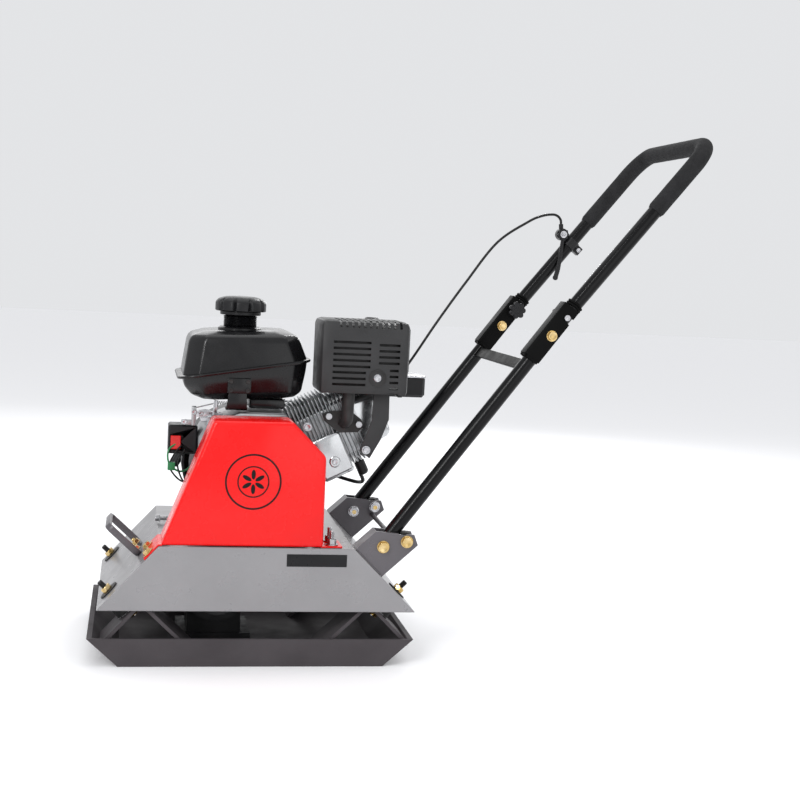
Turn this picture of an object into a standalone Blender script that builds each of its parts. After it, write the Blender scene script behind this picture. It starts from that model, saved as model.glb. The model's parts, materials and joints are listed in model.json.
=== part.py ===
"""Petrol plate compactor with a folding handle, modelled as separate pieces.

Metres, +Z up. The origin is the centre of the sole plate's underside, -X is the travel direction,
+X the operator's side and -Y the side of the belt guard. "Left" is -Y and "right" is +Y.
"""

import math

import bmesh
import bpy
from mathutils import Vector

GAP = 0.0003  # clearance between pieces that touch
SIDES = {"left": -1, "right": 1}

# Base tray and engine deck: outlines in X and Z, the same over the whole width.
HALF_WIDTH = 0.200
TRAY_SOLE_X = 0.227
TRAY_LIP_X = 0.280
TRAY_LIP_Z = 0.048
TRAY_SOLE_WALL = 0.008
TRAY_SIDE_WALL = 0.006
DECK_BOTTOM_Z = 0.096
DECK_TOP_Z = 0.207
DECK_FRONT_BOTTOM_X = -0.266
DECK_FRONT_TOP_X = -0.165
DECK_REAR_TOP_X = 0.169
DECK_REAR_BOTTOM_X = 0.281
DECK_WALL = 0.005
SLOPES = {
    "front": (Vector((DECK_FRONT_BOTTOM_X, 0, DECK_BOTTOM_Z)), Vector((DECK_FRONT_TOP_X, 0, DECK_TOP_Z))),
    "rear": (Vector((DECK_REAR_BOTTOM_X, 0, DECK_BOTTOM_Z)), Vector((DECK_REAR_TOP_X, 0, DECK_TOP_Z))),
}

# Rubber mounts between the tray's inverted-V brackets and the deck's slopes.
MOUNT_Y = 0.150
MOUNT_UP_SLOPE = {"front": 0.031, "rear": 0.038}
MOUNT_RUBBER_LENGTH = 0.040
MOUNT_RUBBER_RADIUS = 0.024
STUD_RADIUS = 0.005
STUD_HOLE_RADIUS = 0.006
BRACKET_PLATE = 0.006
BRACKET_HALF_WIDTH = 0.040

# Exciter in the tray and the belt drive above it, all on axes along Y.
EXCITER_X = -0.060
EXCITER_Z = 0.112
EXCITER_BODY_RADIUS = 0.056
EXCITER_SHAFT_RADIUS = 0.015
EXCITER_PULLEY_RADIUS = 0.035
EXCITER_PITCH_RADIUS = 0.030
CRANK_X = -0.015
CRANK_Z = 0.315
CRANK_RADIUS = 0.0125
DRUM_PITCH_RADIUS = 0.040
BELT_Y = -0.138
BELT_HALF_WIDTH = 0.006
BELT_THICKNESS = 0.008

# Belt guard, a one-piece pressed cover on the near side.
GUARD_NEAR_Y = -0.197
GUARD_FAR_Y = -0.106
GUARD_WALL = 0.0025
GUARD_OUTLINE = [(-0.1622, 0.2076), (0.1143, 0.2076), (0.1135, 0.3650), (0.0545, 0.4235), (-0.0800, 0.4225)]

# Handle: the lower part pivots in the deck's brackets, the upper part folds on the lower one.
TUBE_Y = 0.174
TUBE_RADIUS = 0.0127
TUBE_WALL = 0.0018
PIVOT = Vector((0.2195, 0, 0.2105))
FOLD = Vector((0.5005, 0, 0.5887))
LOWER_ANGLE = math.atan2(FOLD.z - PIVOT.z, FOLD.x - PIVOT.x)
UPPER_ANGLE = math.radians(51.5)
UPPER_LENGTH = 0.448
UPPER_BEND_RADIUS = 0.050
FOAM_RADIUS = 0.0157
FOAM_START = {"left": 0.289, "right": 0.270}
CHEEK_GAP = 0.0135
BRACKET_CHEEK = 0.006
STOP_AHEAD = 0.0324
STOP_RADIUS = 0.0146
CHANNEL_GAP = 0.0145
CHANNEL_PLATE = 0.003
LOCK_AHEAD = 0.0415
FOLD_HOLE_RADIUS = 0.0046
CLAMP_AHEAD = 0.217
BOLT_RADIUS = 0.006

# Engine, above the deck.
CYLINDER_ANGLE = math.radians(26)
CYLINDER_AXIS = Vector((math.cos(CYLINDER_ANGLE), 0, math.sin(CYLINDER_ANGLE)))
CYLINDER_UP = Vector((-math.sin(CYLINDER_ANGLE), 0, math.cos(CYLINDER_ANGLE)))
FLYWHEEL_RADIUS = 0.095
MUFFLER_LOW = Vector((0.107, -0.110, 0.463))
MUFFLER_HIGH = Vector((0.2655, 0.008, 0.5975))
TANK_SEAM_SLOPE = math.tan(math.radians(9.5))
TANK_SEAM_Z = 0.5058
TANK_CAP_X = -0.0285
TANK_CAP_Y = 0.010
RECOIL_Y = 0.150

COLOURS = {
    "tray_paint": ((0.085, 0.080, 0.084), 0.45, 0.3),
    "deck_paint": ((0.26, 0.26, 0.275), 0.38, 0.4),
    "bracket_paint": ((0.155, 0.147, 0.16), 0.42, 0.3),
    "guard_paint": ((0.74, 0.008, 0.006), 0.30, 0.0),
    "handle_paint": ((0.008, 0.008, 0.009), 0.22, 0.2),
    "foam": ((0.028, 0.028, 0.030), 0.85, 0.0),
    "rubber": ((0.02, 0.02, 0.02), 0.75, 0.0),
    "yellow_zinc": ((0.72, 0.55, 0.22), 0.30, 0.9),
    "black_plastic": ((0.012, 0.012, 0.013), 0.40, 0.0),
    "tank_black": ((0.009, 0.009, 0.010), 0.25, 0.0),
    "muffler_paint": ((0.035, 0.035, 0.037), 0.50, 0.2),
    "exhaust_steel": ((0.16, 0.14, 0.13), 0.50, 0.9),
    "cast_aluminium": ((0.55, 0.56, 0.57), 0.42, 0.9),
    "cast_iron": ((0.10, 0.10, 0.10), 0.60, 0.6),
    "steel": ((0.50, 0.50, 0.51), 0.30, 1.0),
    "switch_red": ((0.60, 0.01, 0.01), 0.35, 0.0),
    "cable_black": ((0.012, 0.012, 0.012), 0.45, 0.0),
}


# Shapes. Each function returns a closed bmesh in world coordinates.


def faces_outwards(shape):
    bmesh.ops.recalc_face_normals(shape, faces=shape.faces)
    return shape


def loft(rings, closed=False):
    """Skin over rings of points that have equal counts, capped at both ends unless it closes on itself."""
    shape = bmesh.new()
    skins = [[shape.verts.new(point) for point in ring] for ring in rings]
    pairs = list(zip(skins, skins[1:]))
    if closed:
        pairs.append((skins[-1], skins[0]))
    for lower, upper in pairs:
        for i in range(len(lower)):
            j = (i + 1) % len(lower)
            shape.faces.new((lower[i], lower[j], upper[j], upper[i]))
    if not closed:
        shape.faces.new(skins[0])
        shape.faces.new(skins[-1])
    return faces_outwards(shape)


def prism(outline, near, far):
    """A plate whose outline is in X and Z, from Y = near to Y = far."""
    return loft([[Vector((x, y, z)) for x, z in outline] for y in (near, far)])


def box(low, high):
    outline = [(low[0], low[2]), (high[0], low[2]), (high[0], high[2]), (low[0], high[2])]
    return prism(outline, low[1], high[1])


def aim(axis):
    """A rotation that turns +Z onto the axis."""
    return Vector(axis).to_track_quat("Z", "Y").to_matrix()


def lathe(profile, centre, axis, steps=20, hollow=False):
    """A turned shape. The profile lists (radius, height along the axis), and is a loop if hollow."""
    shape = bmesh.new()
    turn = aim(axis)
    centre = Vector(centre)
    rings = []
    for radius, height in profile:
        count = steps if radius > 0 else 1
        ring = []
        for i in range(count):
            angle = 2 * math.pi * i / steps
            point = Vector((radius * math.cos(angle), radius * math.sin(angle), height))
            ring.append(shape.verts.new(centre + turn @ point))
        rings.append(ring)
    pairs = list(zip(rings, rings[1:]))
    if hollow:
        pairs.append((rings[-1], rings[0]))
    for lower, upper in pairs:
        for i in range(steps):
            j = i + 1
            below = [lower[i % len(lower)], lower[j % len(lower)]]
            above = [upper[j % len(upper)], upper[i % len(upper)]]
            corners = list(dict.fromkeys(below + above))
            if len(corners) > 2:
                shape.faces.new(corners)
    return faces_outwards(shape)


def rod(start, end, radius, steps=12):
    start = Vector(start)
    end = Vector(end)
    length = (end - start).length
    return lathe([(0, 0), (radius, 0), (radius, length), (0, length)], start, end - start, steps)


def across_rod(centre, radius, steps=16):
    """A rod along Y through the centre, long enough to cut a hole through any bracket or tube."""
    reach = Vector((0, 0.03, 0))
    return rod(centre - reach, centre + reach, radius, steps)


def ring_around(centre, axis, inner, outer, low, high, steps=20):
    profile = [(inner, low), (outer, low), (outer, high), (inner, high)]
    return lathe(profile, centre, axis, steps, hollow=True)


def filleted(corners, radius, steps=6):
    """The path through the corners with each inner corner rounded to an arc."""
    path = [Vector(corners[0])]
    for before, corner, after in zip(corners, corners[1:], corners[2:]):
        corner = Vector(corner)
        back = (Vector(before) - corner).normalized()
        ahead = (Vector(after) - corner).normalized()
        half = back.angle(ahead) / 2
        centre = corner + (back + ahead).normalized() * radius / math.sin(half)
        start = corner + back * radius / math.tan(half) - centre
        end = corner + ahead * radius / math.tan(half) - centre
        turn = start.angle(end)
        for i in range(steps + 1):
            t = i / steps
            arc = start * math.sin((1 - t) * turn) + end * math.sin(t * turn)
            path.append(centre + arc / math.sin(turn))
    path.append(Vector(corners[-1]))
    return path


def swept_rings(path, section, up):
    """The section's (side, up) points, carried along the path without twisting."""
    rings = []
    up = Vector(up)
    for i, point in enumerate(path):
        ahead = (path[min(i + 1, len(path) - 1)] - path[max(i - 1, 0)]).normalized()
        up = (up - ahead * up.dot(ahead)).normalized()
        side = ahead.cross(up)
        rings.append([point + side * a + up * b for a, b in section])
    return rings


def circle(radius, steps):
    angles = [2 * math.pi * i / steps for i in range(steps)]
    return [(radius * math.cos(angle), radius * math.sin(angle)) for angle in angles]


def rectangle(width, height):
    """The (side, up) corners of a rectangular section."""
    side = width / 2
    up = height / 2
    return [(-side, -up), (side, -up), (side, up), (-side, up)]


def sweep(path, section, up=(0, 1, 0)):
    return loft(swept_rings(path, section, up))


def pipe(path, outer, inner, steps=10, up=(0, 1, 0)):
    """An open-ended tube: the outer skin, then the inner skin back again, joined at both ends."""
    outside = swept_rings(path, circle(outer, steps), up)
    inside = swept_rings(path, circle(inner, steps), up)
    return loft(outside + inside[::-1], closed=True)


def inset(outline, walls):
    """The anticlockwise outline with each edge moved inwards by its wall, or outwards by a negative one."""
    lines = []
    for i, start in enumerate(outline):
        edge = Vector(outline[(i + 1) % len(outline)]) - Vector(start)
        edge.normalize()
        inwards = Vector((-edge.y, edge.x))
        lines.append((Vector(start) + inwards * walls[i], edge))
    moved = []
    for i, (point, edge) in enumerate(lines):
        before, along = lines[i - 1]
        reach = (point - before).cross(edge) / along.cross(edge)
        moved.append(tuple(before + along * reach))
    return moved


def bent_plate(points, thickness):
    """The outline of a plate of even thickness whose upper face runs through the points."""
    points = [Vector(point) for point in points]
    under = []
    for i, point in enumerate(points):
        back = (points[i] - points[i - 1]).normalized() if i else (points[1] - points[0]).normalized()
        ahead = (points[i + 1] - points[i]).normalized() if i + 1 < len(points) else back
        normal = (Vector((back.y, -back.x)) + Vector((ahead.y, -ahead.x))).normalized()
        under.append(point + normal * thickness / normal.dot(Vector((back.y, -back.x))))
    return [tuple(point) for point in points + under[::-1]]


def softened(shape, width, steps=1, sharper_than=35):
    """The shape with its sharp edges rounded off."""
    sharp = [edge for edge in shape.edges if edge.calc_face_angle(0) > math.radians(sharper_than)]
    bmesh.ops.bevel(shape, geom=sharp, offset=width, segments=steps, profile=0.5, affect="EDGES")
    return shape


def merged(shape, tools, operation):
    """Joins the tools to the shape or cuts them from it, with the exact Boolean solver."""
    objects = []
    for piece in [shape, *tools]:
        mesh = bpy.data.meshes.new("working_shape")
        piece.to_mesh(mesh)
        piece.free()
        working = bpy.data.objects.new("working_shape", mesh)
        bpy.context.scene.collection.objects.link(working)
        objects.append(working)
    target = objects[0]
    for tool in objects[1:]:
        modifier = target.modifiers.new("merge", "BOOLEAN")
        modifier.operation = operation
        modifier.solver = "EXACT"
        modifier.object = tool
    graph = bpy.context.evaluated_depsgraph_get()
    mesh = bpy.data.meshes.new_from_object(target.evaluated_get(graph))
    result = bmesh.new()
    result.from_mesh(mesh)
    bpy.data.meshes.remove(mesh)
    for working in objects:
        bpy.data.meshes.remove(working.data)
    return result


def joined(shape, *tools):
    return merged(shape, tools, "UNION")


def cut(shape, *tools):
    return merged(shape, tools, "DIFFERENCE")


def bolt(head, end, radius, head_radius, head_length, nut_length):
    """A bolt from under its head to its end, with a nut on the end."""
    head = Vector(head)
    end = Vector(end)
    along = (end - head).normalized()
    tail = (end - head).length
    profile = [
        (0, -head_length),
        (head_radius, -head_length),
        (head_radius, 0),
        (radius, 0),
        (radius, tail - nut_length),
        (head_radius, tail - nut_length),
        (head_radius, tail),
        (0, tail),
    ]
    return lathe(profile, head, along, 12)


# Objects.


def paint(name):
    if name in bpy.data.materials:
        return bpy.data.materials[name]
    colour, roughness, metallic = COLOURS[name]
    material = bpy.data.materials.new(name)
    material.use_nodes = True
    shader = material.node_tree.nodes["Principled BSDF"]
    shader.inputs["Base Color"].default_value = (*colour, 1)
    shader.inputs["Roughness"].default_value = roughness
    shader.inputs["Metallic"].default_value = metallic
    return material


def place(name, shape, colour, pivot=(0, 0, 0), parent=None):
    """Adds the shape as a named object whose origin is the pivot, under an optional parent."""
    pivot = Vector(pivot)
    bmesh.ops.translate(shape, verts=shape.verts, vec=-pivot)
    mesh = bpy.data.meshes.new(name)
    shape.to_mesh(mesh)
    shape.free()
    mesh.shade_smooth()
    mesh.set_sharp_from_angle(angle=math.radians(35))
    mesh.materials.clear()
    mesh.materials.append(paint(colour))
    item = bpy.data.objects.new(name, mesh)
    bpy.context.scene.collection.objects.link(item)
    if parent:
        item.parent = parent
        pivot = pivot - parent.matrix_world.translation
    item.location = pivot
    bpy.context.view_layer.update()
    return item


def empty(name, location, parent=None):
    """A joint's own frame, which carries the pieces that move with it."""
    item = bpy.data.objects.new(name, None)
    bpy.context.scene.collection.objects.link(item)
    item.parent = parent
    item.location = Vector(location) - (parent.matrix_world.translation if parent else Vector())
    bpy.context.view_layer.update()
    return item


def clear_scene():
    for item in list(bpy.data.objects):
        bpy.data.objects.remove(item, do_unlink=True)


# Base and deck.


def slope_frame(end, up_slope=0.0, y=0.0):
    """A point on the deck slope's outer face, the direction up the slope and the outward normal."""
    foot, top = SLOPES[end]
    up = (top - foot).normalized()
    normal = Vector((-up.z, 0, up.x)) if end == "front" else Vector((up.z, 0, -up.x))
    point = foot + up * up_slope
    return Vector((point.x, y, point.z)), up, normal


def mount_bracket(end, y):
    """An inverted V of bent plate: its outer leg stands on the end wall, its inner leg on the sole."""
    point, up, normal = slope_frame(end, MOUNT_UP_SLOPE[end])
    under_rubber = point - normal * (DECK_WALL + MOUNT_RUBBER_LENGTH + 2 * GAP)
    outer_foot = under_rubber - up * 0.074
    apex = under_rubber + up * 0.030
    towards_middle = 1 if end == "front" else -1
    inner_foot = Vector((apex.x + towards_middle * 0.111, 0, 0.006))
    upper_face = [(outer_foot.x, outer_foot.z), (apex.x, apex.z), (inner_foot.x, inner_foot.z)]
    if end == "rear":
        upper_face.reverse()
    plate = prism(bent_plate(upper_face, BRACKET_PLATE), y - BRACKET_HALF_WIDTH, y + BRACKET_HALF_WIDTH)
    centre = Vector((under_rubber.x, y, under_rubber.z))
    hole = rod(centre + normal * 0.02, centre - normal * 0.02, STUD_HOLE_RADIUS, 12)
    return cut(plate, hole)


def base_plate():
    """The welded base: a thick sole with turned-up ends, side walls and four mount brackets."""
    outline = [(-TRAY_SOLE_X, 0), (TRAY_SOLE_X, 0), (TRAY_LIP_X, TRAY_LIP_Z), (-TRAY_LIP_X, TRAY_LIP_Z)]
    tray = prism(outline, -HALF_WIDTH, HALF_WIDTH)
    hollow = inset(outline, [TRAY_SOLE_WALL, TRAY_SIDE_WALL, -0.010, TRAY_SIDE_WALL])
    inside = HALF_WIDTH - TRAY_SIDE_WALL
    tray = cut(tray, prism(hollow, -inside, inside))
    brackets = [mount_bracket(end, side * MOUNT_Y) for end in SLOPES for side in SIDES.values()]
    place("base_plate", joined(tray, *brackets), "tray_paint")


def rubber_mounts():
    """Rubber bobbins with a stud, washer and nut on each end, square to the deck's slopes."""
    for end in SLOPES:
        for side, sign in SIDES.items():
            point, _, normal = slope_frame(end, MOUNT_UP_SLOPE[end], sign * MOUNT_Y)
            rubber_top = DECK_WALL + GAP
            rubber_end = rubber_top + MOUNT_RUBBER_LENGTH
            nut_start = rubber_end + BRACKET_PLATE + 2 * GAP
            profile = [
                (0, -0.024),
                (STUD_RADIUS, -0.024),
                (STUD_RADIUS, -0.012),
                (0.0095, -0.012),
                (0.0095, -0.003),
                (0.019, -0.003),
                (0.019, -GAP),
                (STUD_RADIUS, -GAP),
                (STUD_RADIUS, rubber_top),
                (MOUNT_RUBBER_RADIUS, rubber_top),
                (MOUNT_RUBBER_RADIUS, rubber_end),
                (STUD_RADIUS, rubber_end),
                (STUD_RADIUS, nut_start),
                (0.0095, nut_start),
                (0.0095, nut_start + 0.008),
                (0, nut_start + 0.008),
            ]
            place(f"rubber_mount_{end}_{side}", lathe(profile, point, -normal, 10), "rubber")


def engine_deck():
    """The upper frame: top plate, two slopes and two side plates, open underneath."""
    outline = [
        (DECK_FRONT_BOTTOM_X, DECK_BOTTOM_Z),
        (DECK_REAR_BOTTOM_X, DECK_BOTTOM_Z),
        (DECK_REAR_TOP_X, DECK_TOP_Z),
        (DECK_FRONT_TOP_X, DECK_TOP_Z),
    ]
    deck = softened(prism(outline, -HALF_WIDTH, HALF_WIDTH), 0.0012)
    hollow = inset(outline, [-0.010, DECK_WALL, DECK_WALL, DECK_WALL])
    inside = HALF_WIDTH - DECK_WALL
    cutters = [prism(hollow, -inside, inside)]
    for end in SLOPES:
        for sign in SIDES.values():
            point, _, normal = slope_frame(end, MOUNT_UP_SLOPE[end], sign * MOUNT_Y)
            cutters.append(rod(point + normal * 0.02, point - normal * 0.02, STUD_HOLE_RADIUS, 16))
    cutters.append(box((-0.094, -0.160, 0.190), (0.016, -0.118, 0.220)))
    place("engine_deck", cut(deck, *cutters), "deck_paint")


def lift_loop():
    """A carrying loop of flat bar, square to the front slope, with its two feet turned in."""
    near, far = -0.112, -0.006
    foot, up, normal = slope_frame("front", 0.105)
    feet = foot + normal * (0.003 + GAP)
    top = foot + normal * 0.074
    corners = [
        (feet.x, near + 0.034, feet.z),
        (feet.x, near, feet.z),
        (top.x, near, top.z),
        (top.x, far, top.z),
        (feet.x, far, feet.z),
        (feet.x, far - 0.034, feet.z),
    ]
    bar = sweep(filleted(corners, 0.010, 4), rectangle(0.006, 0.012), up)
    place("lift_loop", bar, "bracket_paint")


# Handle brackets, bolts and handle.


def lower_frame(along=0.0, across=0.0, y=0.0):
    """A point at a distance along the lower tube from its pivot and at a distance behind the tube."""
    direction = Vector((math.cos(LOWER_ANGLE), 0, math.sin(LOWER_ANGLE)))
    behind = Vector((direction.z, 0, -direction.x))
    return PIVOT + direction * along + behind * across + Vector((0, y, 0))


def upper_frame(along=0.0, across=0.0, y=0.0):
    """The same for the upper tube, measured from the fold bolt."""
    direction = Vector((math.cos(UPPER_ANGLE), 0, math.sin(UPPER_ANGLE)))
    behind = Vector((direction.z, 0, -direction.x))
    return FOLD + direction * along + behind * across + Vector((0, y, 0))


def stop_centre(y=0.0):
    return lower_frame(STOP_AHEAD, TUBE_RADIUS + STOP_RADIUS + GAP, y)


def handle_brackets():
    """Two channels welded to the rear slope: cheek plates with a hollow upper edge, and a front web."""
    clear = CHEEK_GAP
    plate = BRACKET_CHEEK
    low, _, normal = slope_frame("rear", 0.087)
    low = low + normal * GAP
    high = slope_frame("rear", 0.155)[0] + normal * GAP
    top = Vector((0.205, 0, 0.2375))
    corner = stop_centre() + Vector((0.019, 0, 0.004))
    outline = [(low.x, low.z), (corner.x + 0.001, corner.z - 0.010), (corner.x - 0.006, corner.z + 0.008)]
    outline += [(top.x + 0.001, top.z), (high.x, high.z)]
    cradle = lower_frame(0.054, 0.004)
    for side, sign in SIDES.items():
        y = sign * TUBE_Y
        block = prism(outline, y - clear - plate, y + clear + plate)
        inner_outline = [
            (low.x + 0.05, low.z - 0.05),
            (corner.x + 0.10, corner.z - 0.010),
            (corner.x + 0.02, corner.z + 0.12),
            (top.x + 0.030 + plate, top.z + 0.04),
            (high.x + plate * 0.77 - 0.0508, high.z - plate * 0.64 - 0.06),
        ]
        channel = prism(inner_outline, y - clear, y + clear)
        hollow_edge = across_rod(cradle + Vector((0, y, 0)), 0.020, 24)
        pivot_hole = across_rod(PIVOT + Vector((0, y, 0)), BOLT_RADIUS + GAP)
        stop_hole = across_rod(stop_centre(y), BOLT_RADIUS + GAP)
        bracket = cut(block, channel, hollow_edge, pivot_hole, stop_hole)
        place(f"handle_bracket_{side}", bracket, "bracket_paint")


def bracket_bolts():
    """Pivot and stop bolts with heads outside and nuts inside, and a rubber roller on each stop bolt."""
    head_at = CHEEK_GAP + BRACKET_CHEEK + GAP
    for side, sign in SIDES.items():
        outside = sign * (TUBE_Y + head_at)
        inside = sign * (TUBE_Y - head_at - 0.010)
        for name, centre in (("pivot", PIVOT), ("stop", stop_centre())):
            start = Vector((centre.x, outside, centre.z))
            end = Vector((centre.x, inside, centre.z))
            place(f"{name}_bolt_{side}", bolt(start, end, BOLT_RADIUS, 0.0105, 0.008, 0.010), "yellow_zinc")
        middle = stop_centre(sign * TUBE_Y)
        roller = ring_around(middle, (0, 1, 0), BOLT_RADIUS + GAP, STOP_RADIUS, -0.0125, 0.0125, 24)
        place(f"stop_roller_{side}", roller, "rubber")


def tie_rod():
    """A round bar that ties the two handle brackets together."""
    reach = TUBE_Y - CHEEK_GAP - BRACKET_CHEEK - GAP
    at = stop_centre() + Vector((-0.003, 0, -0.0165))
    place("bracket_tie_rod", rod((at.x, -reach, at.z), (at.x, reach, at.z), 0.0045, 16), "bracket_paint")


def fold_channel(y):
    """The channel at the top of a lower tube: two cheeks and a front web around the fold."""
    start, end = -0.052, 0.062
    outer = CHANNEL_GAP + CHANNEL_PLATE
    fold_along = (FOLD - PIVOT).length
    web_inside = -0.0158
    web_outside = -0.0188

    def corner(along, across):
        point = lower_frame(fold_along + along, across)
        return (point.x, point.z)

    outline = [
        corner(start, TUBE_RADIUS),
        corner(end, TUBE_RADIUS),
        corner(end, web_outside),
        corner(start, web_outside),
    ]
    hollow = [
        corner(start - 0.01, 0.03),
        corner(end + 0.01, 0.03),
        corner(end + 0.01, web_inside),
        corner(start - 0.01, web_inside),
    ]
    channel = cut(
        prism(outline, y - outer, y + outer),
        prism(hollow, y - CHANNEL_GAP, y + CHANNEL_GAP),
    )
    fold_hole = across_rod(upper_frame(0, 0, y), FOLD_HOLE_RADIUS)
    lock_seat = across_rod(upper_frame(LOCK_AHEAD, 0, y), FOLD_HOLE_RADIUS)
    notch_outline = [
        upper_frame(LOCK_AHEAD - FOLD_HOLE_RADIUS, 0),
        upper_frame(LOCK_AHEAD + FOLD_HOLE_RADIUS, 0),
        upper_frame(LOCK_AHEAD + FOLD_HOLE_RADIUS, 0.020),
        upper_frame(LOCK_AHEAD - FOLD_HOLE_RADIUS - 0.004, 0.020),
    ]
    notch = prism([(point.x, point.z) for point in notch_outline], y - 0.03, y + 0.03)
    return cut(channel, fold_hole, lock_seat, notch)


def lower_handle(tilt):
    """The lower half of the handle: two tubes with fold channels on top, joined by a flat crossbar."""
    fold_along = (FOLD - PIVOT).length
    direction = (FOLD - PIVOT).normalized()
    pieces = []
    for sign in SIDES.values():
        y = sign * TUBE_Y
        path = [lower_frame(-0.016, 0, y), lower_frame(fold_along - 0.032, 0, y)]
        tube = pipe(path, TUBE_RADIUS, TUBE_RADIUS - TUBE_WALL)
        hole = across_rod(PIVOT + Vector((0, y, 0)), BOLT_RADIUS + GAP)
        pieces.append(cut(tube, hole))
        pieces.append(fold_channel(y))
        for face in (-1, 1):
            weld_y = y + face * (TUBE_RADIUS - 0.0005)
            weld_start = lower_frame(fold_along - 0.050, 0, weld_y)
            weld_path = [weld_start, weld_start + direction * 0.016]
            pieces.append(sweep(weld_path, rectangle(0.008, 0.006)))
    reach = TUBE_Y - TUBE_RADIUS + 0.002
    centre = fold_along - 0.069
    bar_path = [lower_frame(centre, -0.002, -reach), lower_frame(centre, -0.002, reach)]
    crossbar = sweep(bar_path, rectangle(0.010, 0.021), direction)
    place("lower_handle", joined(crossbar, *pieces), "handle_paint", PIVOT, tilt)


def upper_path(start_left, start_right):
    """The upper tube's centre line, from the left leg round the top bar to the right leg."""
    return filleted(
        [
            upper_frame(start_left, 0, -TUBE_Y),
            upper_frame(UPPER_LENGTH, 0, -TUBE_Y),
            upper_frame(UPPER_LENGTH, 0, TUBE_Y),
            upper_frame(start_right, 0, TUBE_Y),
        ],
        UPPER_BEND_RADIUS,
        5,
    )


def upper_handle(fold):
    behind = Vector((math.sin(UPPER_ANGLE), 0, -math.cos(UPPER_ANGLE)))
    tube = pipe(upper_path(-0.008, -0.008), TUBE_RADIUS, TUBE_RADIUS - TUBE_WALL, 10, behind)
    holes = []
    for sign in SIDES.values():
        for along in (0, LOCK_AHEAD):
            holes.append(across_rod(upper_frame(along, 0, sign * TUBE_Y), FOLD_HOLE_RADIUS))
    place("upper_handle", cut(tube, *holes), "handle_paint", FOLD, fold)
    foam_path = upper_path(FOAM_START["left"], FOAM_START["right"])
    foam = pipe(foam_path, FOAM_RADIUS, TUBE_RADIUS + GAP, 10, behind)
    place("handle_grip", foam, "foam", FOLD, fold)


def fold_hardware(tilt, fold):
    """The bolts that the upper handle folds on, and its lock knobs, whose studs leave by open notches."""
    cheek = CHANNEL_GAP + CHANNEL_PLATE + GAP
    for side, sign in SIDES.items():
        start = upper_frame(0, 0, sign * (TUBE_Y + cheek))
        end = upper_frame(0, 0, sign * (TUBE_Y - cheek - 0.008))
        place(f"fold_bolt_{side}", bolt(start, end, 0.0042, 0.0095, 0.006, 0.008), "yellow_zinc", FOLD, tilt)
        knob_at = upper_frame(LOCK_AHEAD, 0, sign * TUBE_Y)
        inwards = Vector((0, -sign, 0))
        stud_end = cheek + 0.006
        profile = [
            (0, -cheek - 0.0035),
            (0.0075, -cheek - 0.0035),
            (0.0075, -cheek),
            (0.0042, -cheek),
            (0.0042, cheek),
            (0.0090, cheek),
            (0.0090, stud_end + 0.002),
            (0, stud_end + 0.002),
        ]
        stud = lathe(profile, knob_at, inwards, 16)
        lobed = []
        for i in range(28):
            angle = 2 * math.pi * i / 28
            radius = 0.0148 + 0.0024 * math.cos(7 * angle)
            lobed.append((knob_at.x + radius * math.cos(angle), knob_at.z + radius * math.sin(angle)))
        grip_near = knob_at.y + inwards.y * stud_end
        grip_far = knob_at.y + inwards.y * (stud_end + 0.012)
        grip = prism(lobed, grip_near, grip_far)
        place(f"lock_knob_{side}", joined(grip, stud), "black_plastic", knob_at, fold)


def throttle_control(fold):
    """The clamp on the right upper tube, the lever that hangs from it, and the cable to the engine."""
    centre = upper_frame(CLAMP_AHEAD, 0, TUBE_Y)
    direction = (upper_frame(1) - upper_frame(0)).normalized()
    band = ring_around(centre, direction, TUBE_RADIUS + GAP, TUBE_RADIUS + 0.0035, -0.009, 0.009, 24)
    ear_start = upper_frame(CLAMP_AHEAD - 0.008, 0.0200, TUBE_Y)
    ear_path = [ear_start, ear_start + direction * 0.016]
    ears = sweep(ear_path, rectangle(0.0124, 0.0150))
    boss_at = upper_frame(CLAMP_AHEAD + 0.001, -0.0265, TUBE_Y - 0.008)
    boss = rod(boss_at + Vector((0, 0.008, 0)), boss_at + Vector((0, -0.006, 0)), 0.0120, 20)
    post_start = upper_frame(CLAMP_AHEAD - 0.006, -0.0165, TUBE_Y - 0.005)
    post_path = [post_start, post_start + direction * 0.012]
    post = sweep(post_path, rectangle(0.006, 0.009))
    socket_at = boss_at + Vector((-0.002, 0, 0.008))
    socket = rod(socket_at, socket_at + Vector((-0.001, 0, 0.0125)), 0.0045, 12)
    place("throttle_clamp", joined(band, ears, boss, post, socket), "black_plastic", centre, fold)

    hub_at = boss_at + Vector((0, -0.006 - GAP, 0))
    hub = rod(hub_at, hub_at + Vector((0, -0.0065, 0)), 0.0105, 20)
    arm_y = hub_at.y - 0.00325
    tip = Vector((0.604, arm_y - 0.0018, 0.6895))
    arm_path = filleted(
        [(boss_at.x, arm_y, boss_at.z), (boss_at.x - 0.003, arm_y, boss_at.z - 0.040), tip], 0.030, 4
    )
    arm = sweep(arm_path, rectangle(0.006, 0.005))
    ball_radius = 0.0052
    ball_profile = [(0, -ball_radius)]
    for angle in (-0.8, 0, 0.8):
        ball_profile.append((ball_radius * math.cos(angle), ball_radius * math.sin(angle)))
    ball_profile.append((0, ball_radius))
    ball = lathe(ball_profile, tip, (0, 0, 1), 12)
    lever_pivot = empty("throttle_lever_axis", boss_at, fold)
    place("throttle_lever", joined(hub, arm, ball), "black_plastic", boss_at, lever_pivot)
    return socket_at + Vector((-0.001, 0, 0.0125))


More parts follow.
